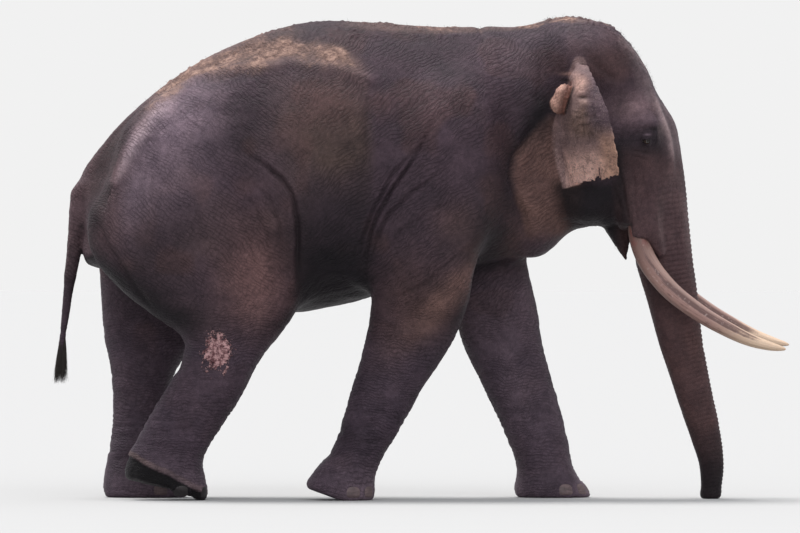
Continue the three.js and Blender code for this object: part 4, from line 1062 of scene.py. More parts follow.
class Material:
    """A node material: a principled shader fed by procedural textures."""

    def __init__(self, name):
        self.made = bpy.data.materials.new(name)
        self.made.use_nodes = True
        self.tree = self.made.node_tree
        self.tree.nodes.clear()
        self.shader = self.node("ShaderNodeBsdfPrincipled")
        out = self.node("ShaderNodeOutputMaterial")
        self.tree.links.new(self.shader.outputs[0], out.inputs["Surface"])
        self.place = self.node("ShaderNodeTexCoord").outputs["Object"]

    def node(self, kind, inputs=(), **settings):
        node = self.tree.nodes.new(kind)
        for key, value in settings.items():
            setattr(node, key, value)
        for key, value in dict(inputs).items():
            self.put(node.inputs[key], value)
        return node

    def put(self, socket, value):
        if isinstance(value, bpy.types.NodeSocket):
            self.tree.links.new(value, socket)
        elif isinstance(value, (tuple, list, np.ndarray)) and socket.type == "RGBA" and len(value) == 3:
            socket.default_value = (*value, 1)
        else:
            socket.default_value = value

    def set(self, **values):
        for key, value in values.items():
            self.put(self.shader.inputs[key.replace("_", " ").title().replace("Ior", "IOR")], value)
        return self

    def noise(self, scale, detail=3.0, rough=0.5, place=None, warp=0.0):
        inputs = {"Vector": place or self.place, "Scale": scale, "Detail": detail}
        inputs.update({"Roughness": rough, "Distortion": warp})
        return self.node("ShaderNodeTexNoise", inputs).outputs["Fac"]

    def waves(self, period, place, warp, wander):
        """Ripples along Z, 0 in each groove and 1 on each ridge. period is in metres."""
        inputs = {"Vector": place, "Scale": 2 * math.pi / 20 / period, "Distortion": warp, "Detail": 2.5}
        inputs.update({"Detail Scale": wander, "Detail Roughness": 0.55})
        return self.node("ShaderNodeTexWave", inputs, bands_direction="Z").outputs["Fac"]

    def cells(self, scale, place):
        """Distance to the nearest wall of a net of cells."""
        inputs = {"Vector": place, "Scale": scale}
        node = self.node("ShaderNodeTexVoronoi", inputs, feature="DISTANCE_TO_EDGE")
        return node.outputs["Distance"]

    def vector(self, operation, a, b):
        node = self.node("ShaderNodeVectorMath", operation=operation)
        self.put(node.inputs[0], a)
        self.put(node.inputs[3 if operation == "SCALE" else 1], b)
        return node.outputs[0]

    def warped(self, scale, amount, place=None):
        """Places pushed about by a noise, by up to half the amount."""
        place = place or self.place
        push = self.node("ShaderNodeTexNoise", {"Vector": place, "Scale": scale, "Detail": 2.0})
        centred = self.vector("SUBTRACT", push.outputs["Color"], (0.5, 0.5, 0.5))
        return self.vector("ADD", place, self.vector("SCALE", centred, amount))

    def stretched(self, by):
        return self.vector("MULTIPLY", self.place, by)

    def step(self, value, low, high, to_low=0.0, to_high=1.0):
        inputs = {"Value": value, "From Min": low, "From Max": high, "To Min": to_low, "To Max": to_high}
        return self.node("ShaderNodeMapRange", inputs, interpolation_type="SMOOTHSTEP").outputs["Result"]

    def math(self, operation, a, b=0.0):
        node = self.node("ShaderNodeMath", operation=operation)
        self.put(node.inputs[0], a)
        self.put(node.inputs[1], b)
        return node.outputs[0]

    def chain(self, operation, values):
        out = values[0]
        for value in values[1:]:
            out = self.math(operation, out, value)
        return out

    def times(self, *values):
        return self.chain("MULTIPLY", values)

    def plus(self, *values):
        return self.chain("ADD", values)

    def less(self, a, b):
        return self.math("SUBTRACT", a, b)

    def shaded(self, colour, factor, low, high):
        """The colour times a tint between low and high, as the factor goes from 0 to 1."""
        return self.mix(1.0, colour, self.mix(factor, low, high), "MULTIPLY")

    def mix(self, factor, a, b, blend="MIX"):
        node = self.node("ShaderNodeMix", data_type="RGBA", blend_type=blend)
        self.put(node.inputs[0], factor)
        self.put(node.inputs[6], a)
        self.put(node.inputs[7], b)
        return node.outputs[2]

    def attribute(self, name):
        return self.node("ShaderNodeAttribute", attribute_name=name)

    def bumps(self, height):
        """height is in metres."""
        node = self.node("ShaderNodeBump", {"Height": height, "Distance": 1.0})
        self.put(self.shader.inputs["Normal"], node.outputs["Normal"])
        return self


def hide_material():
    m = Material("hide")
    tint = m.attribute("tint").outputs["Color"]
    marks = m.node("ShaderNodeSeparateColor", {"Color": m.attribute("marks").outputs["Color"]}).outputs
    dust, freckled, scab = marks[0], marks[1], marks[2]
    # fine wrinkles slant one way on the rump and the other on the shoulder, and lie level on the legs
    bent = m.warped(12, 0.022, m.warped(3, 0.16))
    at = m.node("ShaderNodeSeparateXYZ", {"Vector": m.place}).outputs
    ways = []
    for angle, period in ((-34, 0.021), (33, 0.023), (0, 0.018), (58, 0.030)):
        turned = m.node("ShaderNodeMapping", {"Vector": bent})
        turned.inputs["Rotation"].default_value = (0, math.radians(angle), 0)
        ways.append(m.waves(period, turned.outputs[0], 7.0, 1.1))
    forward = m.step(at[0], -0.95, -0.45)
    low = m.times(m.step(at[2], 1.35, 1.0), m.step(at[0], 1.15, 1.0))
    slanted = m.plus(m.times(ways[0], m.less(1.0, forward)), m.times(ways[1], forward))
    main = m.plus(m.times(slanted, m.less(1.0, low)), m.times(ways[2], low))
    strong = m.step(m.noise(5, 6, 0.7), 0.36, 0.58)
    lines = m.math("MINIMUM", m.step(main, 0.0, 0.50), m.step(ways[3], 0.0, 0.22, 0.35, 1.0))
    lines = m.math("MAXIMUM", lines, m.less(0.9, strong))
    lines = m.math("MAXIMUM", lines, m.step(at[0], 0.7, 0.95, 0.0, 0.7))
    pebbles = m.step(m.cells(85, m.warped(60, 0.014, m.stretched((1, 1, 1.4)))), 0.0, 0.25)
    fine = m.noise(150, 4, 0.68)
    mottle = m.noise(6, 8, 0.64)
    grime = m.noise(38, 5, 0.6)
    colour = m.shaded(tint, m.step(mottle, 0.3, 0.7), (0.76, 0.75, 0.77), (1.26, 1.25, 1.22))
    colour = m.shaded(colour, m.step(grime, 0.3, 0.7), (0.84, 0.83, 0.83), (1.17, 1.16, 1.15))
    bare = m.less(1.0, m.times(freckled, 0.5))
    # painted shade in the grooves of the wrinkles and between the pebbles, less on the bare ears
    for groove, depth in ((pebbles, 0.24), (lines, 0.36)):
        dark = m.times(m.step(groove, 0, 1, depth, 0.0), bare)
        colour = m.mix(dark, colour, (0.16, 0.15, 0.16), "MULTIPLY")
    colour = m.mix(m.step(fine, 0.56, 0.74, 0.0, 0.5), colour, (1.8, 1.75, 1.7), "MULTIPLY")
    rosy = m.times(m.step(fine, 0.54, 0.66, 0.0, 0.45), freckled)
    colour = m.mix(rosy, colour, (0.62, 0.47, 0.43))
    # freckles on the bare skin of the ears
    ear_grain = m.stretched((1, 0.5, 1))
    large, small = m.noise(24, 2, 0.5, ear_grain), m.noise(90, 4, 0.75, ear_grain)
    speckle = m.step(m.plus(m.times(small, 0.75), m.times(large, 0.35)), 0.565, 0.65)
    colour = m.mix(m.times(speckle, m.times(freckled, 0.55)), colour, (0.12, 0.080, 0.072))
    # scab: torn pink flesh with dark pits, and pale scales round it
    torn = m.plus(m.times(m.noise(64, 5, 0.75), 0.8), m.times(m.noise(21, 3, 0.6), 0.5))
    flakes = m.step(m.plus(torn, m.times(scab, 0.36)), 0.80, 0.85)
    raw = m.mix(m.step(m.noise(44, 5, 0.7), 0.40, 0.58), (0.20, 0.085, 0.092), (0.78, 0.460, 0.460))
    pits = m.times(m.step(m.noise(26, 2, 0.5), 0.60, 0.66), m.step(scab, 0.4, 0.7))
    raw = m.mix(pits, raw, (0.05, 0.016, 0.02))
    colour = m.mix(m.times(flakes, m.step(scab, 0.02, 0.2), 0.9), colour, raw)
    # dust and dry earth
    spread = m.plus(m.noise(11, 6, 0.68), m.times(m.noise(60, 4, 0.65), 0.35))
    dusty = m.step(m.plus(dust, spread), 0.88, 1.34)
    clods = m.step(m.noise(22, 7, 0.74), 0.36, 0.62)
    earth = m.mix(clods, (0.165, 0.098, 0.082), (0.60, 0.385, 0.310))
    colour = m.mix(m.times(dusty, 0.76), colour, earth)
    m.set(base_color=colour, specular_ior_level=0.17, sheen_weight=0.06, sheen_roughness=0.4)
    m.set(sheen_tint=(0.9, 0.72, 0.84))
    m.set(roughness=m.plus(m.step(mottle, 0.3, 0.7, 0.50, 0.64), m.times(dusty, 0.25)))
    relief_of = ((pebbles, 0.0011), (lines, 0.0026), (fine, 0.0018), (mottle, 0.004))
    height = m.plus(*(m.times(grain, size) for grain, size in relief_of))
    height = m.plus(height, m.times(dusty, m.noise(60, 4, 0.7), 0.012))
    return m.bumps(m.plus(height, m.times(flakes, scab, torn, 0.02))).made


def ivory_material():
    m = Material("ivory")
    t = m.attribute("along").outputs["Fac"]
    upper = m.attribute("upper").outputs["Fac"]
    streak = m.attribute("streak").outputs["Vector"]
    grain = m.noise(14, 5, 0.62, streak, 0.4)
    lines = m.noise(46, 4, 0.6, streak)
    blotch = m.noise(15, 5, 0.7)
    clean = m.mix(m.step(t, 0.12, 0.45), (0.195, 0.108, 0.092), (0.43, 0.255, 0.222))
    clean = m.mix(m.step(t, 0.62, 0.90), clean, (0.84, 0.62, 0.455))
    flank = m.times(m.step(upper, 0.45, 0.72), m.step(upper, 0.985, 0.93))
    flank = m.times(flank, m.step(t, 0.22, 0.55, 0.04, 0.30))
    stain = m.plus(m.times(grain, 0.9), m.times(blotch, 0.45), flank)
    stain = m.step(m.less(stain, m.step(t, 0.72, 0.98, 0.0, 0.30)), 0.74, 0.90)
    colour = m.mix(m.times(stain, 0.88), clean, (0.125, 0.064, 0.060))
    colour = m.mix(m.step(lines, 0.58, 0.7, 0, 0.5), colour, (0.10, 0.058, 0.052))
    # a painted highlight along the top of the tusk
    crest = m.times(m.step(upper, 0.78, 0.97), m.step(t, 0.15, 0.35), m.step(t, 0.85, 0.6), 0.7)
    colour = m.mix(crest, colour, (0.64, 0.43, 0.37))
    colour = m.mix(m.step(m.noise(55, 3, 0.6), 0.60, 0.70, 0, 0.45), colour, (0.60, 0.46, 0.42))
    red = m.times(m.step(t, 0.10, 0.14), m.step(t, 0.24, 0.18), m.step(blotch, 0.48, 0.6))
    colour = m.mix(m.times(red, 0.5), colour, (0.30, 0.10, 0.09))
    m.set(base_color=colour, roughness=m.step(grain, 0.3, 0.8, 0.40, 0.55), specular_ior_level=0.4)
    m.set(subsurface_weight=0.04, subsurface_radius=(0.02, 0.012, 0.008))
    return m.bumps(m.plus(m.times(lines, -0.0010), m.times(grain, 0.0016))).made


def eye_material():
    m = Material("eye")
    off = m.attribute("gaze").outputs["Fac"]
    rays = m.noise(10, 4, 0.6, place=m.attribute("iris").outputs["Vector"])
    iris = m.mix(m.step(rays, 0.35, 0.65), (0.022, 0.010, 0.005), (0.085, 0.040, 0.018))
    iris = m.mix(m.step(off, 0.50, 0.62), iris, (0.012, 0.007, 0.005))
    white = m.mix(m.noise(300, 3), (0.05, 0.03, 0.026), (0.11, 0.07, 0.06))
    colour = m.mix(m.step(off, 0.60, 0.66), iris, white)
    colour = m.mix(m.step(off, 0.235, 0.215), colour, (0.003, 0.003, 0.003))
    m.set(base_color=colour, roughness=0.08, coat_weight=1.0, coat_roughness=0.02)
    return m.made


def nail_material():
    m = Material("nail")
    level = m.noise(18, 3, 0.5, place=m.stretched((1, 1, 5)))
    ridge = m.noise(120, 2, 0.5, place=m.stretched((1, 1, 0.12)))
    colour = m.mix(m.step(level, 0.35, 0.7), (0.100, 0.066, 0.070), (0.185, 0.128, 0.130))
    colour = m.mix(m.step(ridge, 0.5, 0.7, 0, 0.35), colour, (0.045, 0.030, 0.028))
    # painted shade on the nails under the raised foot's rim
    colour = m.mix(m.times(m.attribute("pad_shade").outputs["Fac"], 0.93), colour, (0.006, 0.005, 0.006))
    m.set(base_color=colour, roughness=m.step(level, 0.3, 0.7, 0.5, 0.65))
    return m.bumps(m.times(ridge, 0.0012)).made


def hair_material():
    m = Material("hair")
    colour = m.mix(m.noise(220, 2), (0.012, 0.010, 0.009), (0.05, 0.038, 0.032))
    m.set(base_color=colour, roughness=0.5)
    return m.made


# ---- meshes


def make_piece(name, points, faces, material, stands_for=(), attributes=(), uv=None):
    """A piece of the model: its mesh, the slot of its material and the CAD nodes that it replaces."""
    mesh = bpy.data.meshes.new(name)
    sizes = np.array([len(f) for f in faces])
    corners = np.concatenate([np.asarray(f) for f in faces])
    mesh.vertices.add(len(points))
    mesh.vertices.foreach_set("co", np.asarray(points, np.float32).ravel())
    mesh.loops.add(len(corners))
    mesh.loops.foreach_set("vertex_index", corners.astype(np.int32))
    mesh.polygons.add(len(sizes))
    mesh.polygons.foreach_set("loop_start", (np.cumsum(sizes) - sizes).astype(np.int32))
    mesh.update(calc_edges=True)
    mesh.shade_smooth()
    for key, values in dict(attributes).items():
        values = np.asarray(values, np.float32)
        kind, field = ("FLOAT", "value") if values.ndim == 1 else ("FLOAT_VECTOR", "vector")
        mesh.attributes.new(key, kind, "POINT").data.foreach_set(field, values.ravel())
    if uv is not None:
        layer = mesh.uv_layers.new(name="OFBake")
        layer.uv.foreach_set("vector", np.asarray(uv, np.float32).ravel())
    mesh.materials.append(material)
    piece = bpy.data.objects.new(name, mesh)
    bpy.context.scene.collection.objects.link(piece)
    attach(piece, "root")
    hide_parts(*stands_for)


def tube_quads(rings, points):
    """Quads of a tube: rings of so many points each."""
    number = np.arange(rings * points).reshape(rings, points)
    after = np.roll(number, -1, axis=1)
    return np.stack([number[:-1], after[:-1], after[1:], number[1:]], -1).reshape(-1, 4)


# ---- nails, tusks and eyes

NAILS = [f"nail_{leg}_{k + 1}" for leg in LEGS for k in range(4 if "hind" in leg else 5)]
NAIL_ACROSS = 0.046  # half a nail's width
NAIL_UP = 0.036  # half its height
NAIL_ROOT = 0.014  # how deep it sits in the foot
NAIL_CLEAR = 0.001  # its least height over the ground
NAIL_SQUARE = (2.2, 4.5)  # how square a nail is, above its middle and below


def nail_rho(u, v):
    """0 at the middle of a nail and 1 on its outline: round at the top and square at the bottom."""
    power = np.where(v > 0, *NAIL_SQUARE)
    return (np.abs(u) ** power + np.abs(v) ** power) ** (1 / power)


class NailBed:
    """Where a nail sits on its foot: its middle, and the directions across it, up it and out of it."""

    def __init__(self, name, skin):
        low, high = (np.array(c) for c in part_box(name))
        self.middle = skin.settled(((low + high) / 2)[None], 8)[0]
        self.out = unit(skin.slope(self.middle[None], 0.02)[0] * [1, 1, 0.4])
        self.across = unit(np.cross([0, 0, 1], self.out))
        self.up = np.cross(self.out, self.across)

    def local(self, p):
        q = p - self.middle
        u, v = q @ self.across / NAIL_ACROSS, q @ self.up / NAIL_UP
        return nail_rho(u, v), q @ self.out


def nail_piece(name, bed, skin, material, n=22):
    u, v = np.meshgrid(np.linspace(-1, 1, n), np.linspace(-1, 1, n), indexing="ij")
    squeeze = nail_rho(u, v) / np.maximum(np.abs(u), np.abs(v)).clip(1e-6)
    u, v = u / squeeze, v / squeeze
    u, v = u.reshape(-1, 1), v.reshape(-1, 1)
    flat = bed.middle + u * NAIL_ACROSS * bed.across + v * NAIL_UP * bed.up
    on = skin.settled(flat, 6)
    on += (flat - on) @ (np.eye(3) - np.outer(bed.out, bed.out))
    rho = nail_rho(u, v)
    wear = 0.0012 * np.sin(u * 19) * (1 - rho) + 0.0015 * ramp(-0.2, -1, v)
    # nails under the raised foot's rim lie in painted shade, and are a little flatter
    pad_shade = under_hind_foot(bed.middle[None] - [0, 0, 0.02])[0]
    height = (0.0085 - 0.003 * pad_shade) * np.sqrt(np.clip(1 - rho**3.2, 0, 1)) - 0.004 + wear
    points = np.vstack([on + height * bed.out, on - NAIL_ROOT * bed.out])
    points[:, 2] = np.maximum(points[:, 2], NAIL_CLEAR)
    number = np.arange(n * n).reshape(n, n)
    quads = sheet_quads(number)
    edge = sheet_border(number)
    after = np.roll(edge, -1)
    wall = np.stack([edge, edge + n * n, after + n * n, after], -1)
    faces = np.vstack([quads, quads[:, ::-1] + n * n, wall])
    if np.cross(bed.across, bed.up) @ bed.out < 0:
        faces = faces[:, ::-1]
    attributes = {"pad_shade": np.full(len(points), pad_shade)}
    make_piece(name + "_horn", points, faces, material, [name], attributes)


TUSK_LINE = [(1.305, 0.178, 1.800), (1.316, 0.192, 1.620), (1.340, 0.204, 1.500), (1.408, 0.226, 1.374)]
TUSK_LINE += [(1.529, 0.252, 1.236), (1.697, 0.270, 1.110), (1.863, 0.274, 1.014), (1.986, 0.266, 0.956)]
TUSK_LINE += [(2.101, 0.256, 0.920), (2.199, 0.244, 0.900)]
TUSK_RADIUS = 0.061
TUSK_LIFT = {"left": 0.014, "right": 0.004}  # how much the middle of each tusk is raised


def tusk_piece(side, material):
    rows, columns = 150, 56
    dense = curve_through(np.array(TUSK_LINE) * [1, SIDES[side], 1], np.linspace(0, 1, 600))
    length = np.concatenate([[0], np.cumsum(np.linalg.norm(np.diff(dense, axis=0), axis=1))])
    t = 1 - (1 - np.linspace(0, 1, rows)) ** 1.25
    middle = np.stack([np.interp(t * length[-1], length, dense[:, a]) for a in range(3)], -1)
    middle[:, 2] += TUSK_LIFT[side] * ramp(0.2, 0.55, t)
    forward = unit(np.gradient(middle, axis=0))
    sideways, up = square_to(forward)
    radius = TUSK_RADIUS * np.sqrt(np.clip(1 - t**3, 0, 1)) * (1 - 0.06 * t)
    turn_by = np.linspace(0, 2 * np.pi, columns, endpoint=False)
    c, s = np.cos(turn_by), np.sin(turn_by)
    ring = sideways[:, None] * c[None, :, None] + up[:, None] * s[None, :, None]
    tt, aa = np.meshgrid(t, turn_by, indexing="ij")
    along_by = np.stack([np.cos(aa) * 0.5, np.sin(aa) * 0.5, tt * 1.2 + (side == "left")], -1)
    seed = along_by.reshape(-1, 3)
    rough = 0.0016 * noise(seed, [5, 5, 3], 61) + 0.0009 * noise(seed, [18, 18, 4], 62)
    rough -= 0.0016 * creases(seed, [7, 7, 1.1], 63, 0.06)
    wear = radius[:, None] + rough.reshape(rows, columns) * ramp(0, 0.01, radius)[:, None]
    points = middle[:, None] + ring * wear[..., None]
    faces = tube_quads(rows, columns).tolist()
    last = (rows - 1) * columns
    faces.append([columns - 1 - k for k in range(columns)])
    faces.append([last + k for k in range(columns)])
    attributes = {
        "along": tt.ravel(),
        "upper": (0.5 + 0.5 * np.sin(aa)).ravel(),
        "streak": seed * [1, 1, 0.14],
    }
    points = from_head(points.reshape(-1, 3))
    make_piece(f"tusk_{side}_ivory", points, faces, material, [f"tusk_{side}"], attributes)


GAZE = {"right": (0.28, -0.95, -0.10), "left": (0.28, 0.95, -0.10)}  # in the head's frame


def eye_piece(side, middle, material):
    rows, columns = 60, 64
    off = np.linspace(0.0, np.pi, rows)
    turn_by = np.linspace(0, 2 * np.pi, columns, endpoint=False)
    oo, aa = np.meshgrid(off, turn_by, indexing="ij")
    forward = HEAD_TURN @ unit(np.array(GAZE[side]))
    sideways, up = square_to(forward)
    radius = (EYE_RADIUS - 0.0006) * (1 + 0.045 * bell(oo, 0, 0.42))
    ring = np.cos(aa)[..., None] * sideways + np.sin(aa)[..., None] * up
    points = middle + radius[..., None] * (np.cos(oo)[..., None] * forward + np.sin(oo)[..., None] * ring)
    points = points.reshape(-1, 3)
    attributes = {
        "gaze": oo.ravel(),
        "iris": np.stack([np.cos(aa), np.sin(aa), oo * 0.3 + 3 * (side == "left")], -1).reshape(-1, 3),
    }
    kept = slice(columns - 1, (rows - 1) * columns + 1)  # one point is enough at each pole
    attributes = {key: value[kept] for key, value in attributes.items()}
    points = points[kept]
    faces = tube_quads(rows - 2, columns) + 1
    first = [[0, 1 + (k + 1) % columns, 1 + k] for k in range(columns)]
    base = 1 + (rows - 3) * columns
    end = len(points) - 1
    last = [[end, base + k, base + (k + 1) % columns] for k in range(columns)]
    faces = faces[:, ::-1].tolist() + first + last
    make_piece(f"eye_{side}_ball", points, faces, material, [f"eye_{side}"], attributes)


# ---- the skin

CHART_GAP = 0.02  # metres of hide between the patches of the map
CHART_VOTES = 6  # rounds in which each face joins the patch that most of its neighbours are in
CHART_KINDS = 24  # six ways a face can look, on each of four parts of the body


def chart_map(points, faces, normals, label):
    """A UV map of the skin: patches that face one way, laid flat at one scale and packed in rows."""
    quads = np.array([f[:4] for f in faces])
    facing = normals[quads].mean(1)
    side = np.abs(facing).argmax(1)
    chart = side * 2 + (facing[np.arange(len(side)), side] > 0) + 6 * label[quads[:, 0]]
    sizes = np.array([len(f) for f in faces])
    corners = np.concatenate([np.asarray(f) for f in faces])
    owner = np.repeat(np.arange(len(faces)), sizes)
    ends = np.concatenate([np.roll(f, -1) for f in faces])
    key = np.minimum(corners, ends) * len(points) + np.maximum(corners, ends)
    order = np.argsort(key, kind="stable")
    same = key[order][1:] == key[order][:-1]
    left, right = owner[order][:-1][same], owner[order][1:][same]
    for _ in range(CHART_VOTES):
        votes = np.zeros((len(faces), CHART_KINDS), np.int8)
        np.add.at(votes, (left, chart[right]), 1)
        np.add.at(votes, (right, chart[left]), 1)
        votes[np.arange(len(faces)), chart] += 1
        chart = votes.argmax(1)
    joined = chart[left] == chart[right]
    left, right = left[joined], right[joined]
    group = np.arange(len(faces))
    while True:
        low = np.minimum(group[left], group[right])
        before = group.copy()
        np.minimum.at(group, group[left], low)
        np.minimum.at(group, group[right], low)
        group = group[group]
        group = group[group]
        if (group == before).all():
            break
    _, group = np.unique(group, return_inverse=True)
    flat_axes = np.array([[1, 2], [0, 2], [0, 1]])
    pick = flat_axes[(chart // 2) % 3][owner]
    place = points[corners]
    uv = np.stack([place[np.arange(len(corners)), pick[:, k]] for k in (0, 1)], -1)
    count = group.max() + 1
    low, high = np.full((count, 2), 99.0), np.full((count, 2), -99.0)
    np.minimum.at(low, group[owner], uv)
    np.maximum.at(high, group[owner], uv)
    size = high - low + CHART_GAP
    width = math.sqrt(size.prod(1).sum()) * 1.1
    corner_at = np.zeros((count, 2))
    u = v = row = 0.0
    for k in np.argsort(-size[:, 1]):
        if u + size[k, 0] > width and u > 0:
            u, v, row = 0.0, v + row, 0.0
        corner_at[k] = u, v
        u += size[k, 0]
        row = max(row, size[k, 1])
    uv += (corner_at - low + CHART_GAP / 2)[group[owner]]
    return uv / max(width, v + row), corners


def build_skin(material):
    """Makes the skin, finer on the head and the flanks and finest round the eyes."""
    skin = Skin()
    points, quads = skin.quads()
    middle = points[quads].mean(1)
    fine = (middle[:, 0] > 0.74) & ~((middle[:, 2] < 1.38) & (middle[:, 0] < 1.12))
    flank = (np.abs(middle[:, 0] + 0.45) < 0.70) & (np.abs(middle[:, 2] - 1.72) < 0.50)
    fine |= flank & (np.abs(middle[:, 1] - MIDPLANE) > 0.2)
    points, quads, others = refined(points, quads, [], fine)
    points = skin.settled(points)
    for reach in (LID_ROOM, 0.05):
        middle = points[quads].mean(1)
        close = np.zeros(len(quads), bool)
        for eye in skin.eyes.values():
            close |= np.linalg.norm(middle - eye, axis=1) < reach
        points, quads, others = refined(points, quads, others, close)
    points = skin.settled(points, 2)
    n = skin.slope(points, 0.008)
    n /= np.linalg.norm(n, axis=1)[:, None] + 1e-9
    own = to_head(points)
    far, across, down = ear_place(own)
    on_ear = ramp(0.06, 0.03, far) * ramp(0.05, 0.2, across)
    stand = relief(points, n, own) * (1 - 0.8 * on_ear) - 0.012 * under_hind_foot(points)
    stand += ear_relief(own, across, down) * on_ear
    on_lobe = ramp(0.015, 0.0, lobe_distance(own)) * ramp(0.80, 0.84, own[:, 0])
    pleats = np.sin(2 * np.pi * (own[:, 0] - 0.3 * own[:, 2] + 0.006 * noise(own, 30, 97)) / 0.021)
    stand += on_lobe * (0.0025 * pleats + 0.003 * layered(own, 40, 98, 2))
    sole = ramp(-0.6, -0.85, n[:, 2]) * ramp(0.3, 0.2, points[:, 2])
    stand *= 1 - 0.9 * sole * ramp(0.05, 0.02, points[:, 2])
    beds = {name: NailBed(name, skin) for name in NAILS}
    for bed in beds.values():
        rows = np.flatnonzero(np.linalg.norm(points - bed.middle, axis=1) < 0.11)
        rho, out = bed.local(points[rows])
        rows, rho = rows[np.abs(out) < 0.05], rho[np.abs(out) < 0.05]
        stand[rows] = stand[rows] * ramp(0.9, 1.5, rho) + 0.0045 * bell(rho, 1.2, 0.16)
    lifted = points + n * stand[:, None]
    lifted = eyelids(lifted, to_head(lifted), skin.eyes)
    lifted[:, 2] = np.maximum(lifted[:, 2] - 0.002 * (1 - ramp(0, 0.06, lifted[:, 2])), 0)
    tint, marks = markings(points, n, own, stand)
    faces = quads.tolist() + others
    label = np.zeros(len(points), int)
    label[on_ear > 0.5] = 1
    label[(points[:, 0] < -2.0) & (points[:, 2] < 1.9)] = 2
    label[(own[:, 2] < 1.66) & (own[:, 0] > 1.0) & (own[:, 0] < 1.3) & (points[:, 2] > 1.4)] = 3
    uv, corners = chart_map(lifted, faces, n, label)
    attributes = {"tint": tint, "marks": marks}
    make_piece("skin", lifted, faces, material, FLESH + EARS, attributes, uv)
    return skin, beds, (lifted, n, uv, corners)


def ear_relief(own, across, down):
    """Veins, soft lumps and the creases that run from the ear's root."""
    p = np.stack([across * 0.42, down * 0.75, 3 * np.sign(own[:, 1])], -1)
    bent = p + 0.05 * np.stack([noise(p, 6, 91), noise(p, 6, 92), 0 * across], -1)
    veins = creases(bent, [4, 9, 1], 93, 0.05) * ramp(0.0, 0.3, across) * ramp(1.0, 0.7, across)
    fans = np.sin((down - 0.25) * 60 * (1.3 - across) + 3 * noise(p, 5, 94))
    fans = fans * bell(across, 0.12, 0.2) * bell(down, 0.2, 0.25)
    lumps = 0.008 * spot(own, *EAR_LUMP) - 0.008 * spot(own, *EAR_CREASE)
    rough = 0.004 * layered(own, [34, 14, 34], 96, 2) * spot(own, (1.03, 2.27), (0.11, 0.11))
    return 0.0022 * veins + 0.0035 * fans + 0.0022 * layered(p, 22, 95, 2) + lumps + rough


# ---- hair

HAIR_SEED = 7
HAIR_PATCH = 0.003  # size of a hair's own patch of the map
TAIL_HAIRS = 1500
BRUSH_END = 0.700  # height that the longest hairs of the tail reach down to
BRISTLE = 0.0004  # radius of a bristle and of a lash
LASHES = 70  # on each upper lid


def hair_piece(name, roots, ways, lengths, radius, droop, material, uv_at, steps, stands_for=()):
    """Many tapered hairs as one piece, each with a small patch of the map at its root's place."""
    t = np.linspace(0, 1, steps + 1)
    gravity = np.array([0, 0, -1.0])
    ways = unit(ways)
    bend = ways[:, None] * t[None, :, None] + gravity * (droop[:, None] * t[None] ** 2)[..., None]
    middle = roots[:, None] + bend * lengths[:, None, None]
    aside = unit(np.cross(ways, [0.31, 0.52, 0.79]))
    other = np.cross(ways, aside)
    turns = 2 * np.pi * np.arange(3) / 3
    thick = radius[:, None] * (1 - 0.8 * t[None] ** 1.5)
    ring = np.cos(turns)[None, :, None] * aside[:, None] + np.sin(turns)[None, :, None] * other[:, None]
    points = middle[:, :, None] + thick[:, :, None, None] * ring[:, None]
    tri = np.vstack([two_triangles(tube_quads(steps + 1, 3)), [[2, 1, 0]], [steps * 3 + np.arange(3)]])
    faces = (tri[None] + (np.arange(len(roots)) * (steps + 1) * 3)[:, None, None]).reshape(-1, 3)
    local = np.stack(np.meshgrid(t, np.arange(3) / 2, indexing="ij"), -1).reshape(-1, 2) * HAIR_PATCH
    uv = (uv_at[:, None] + local[None]).reshape(-1, 2)[faces.ravel()]
    make_piece(name, points.reshape(-1, 3), faces, material, stands_for, {}, uv)


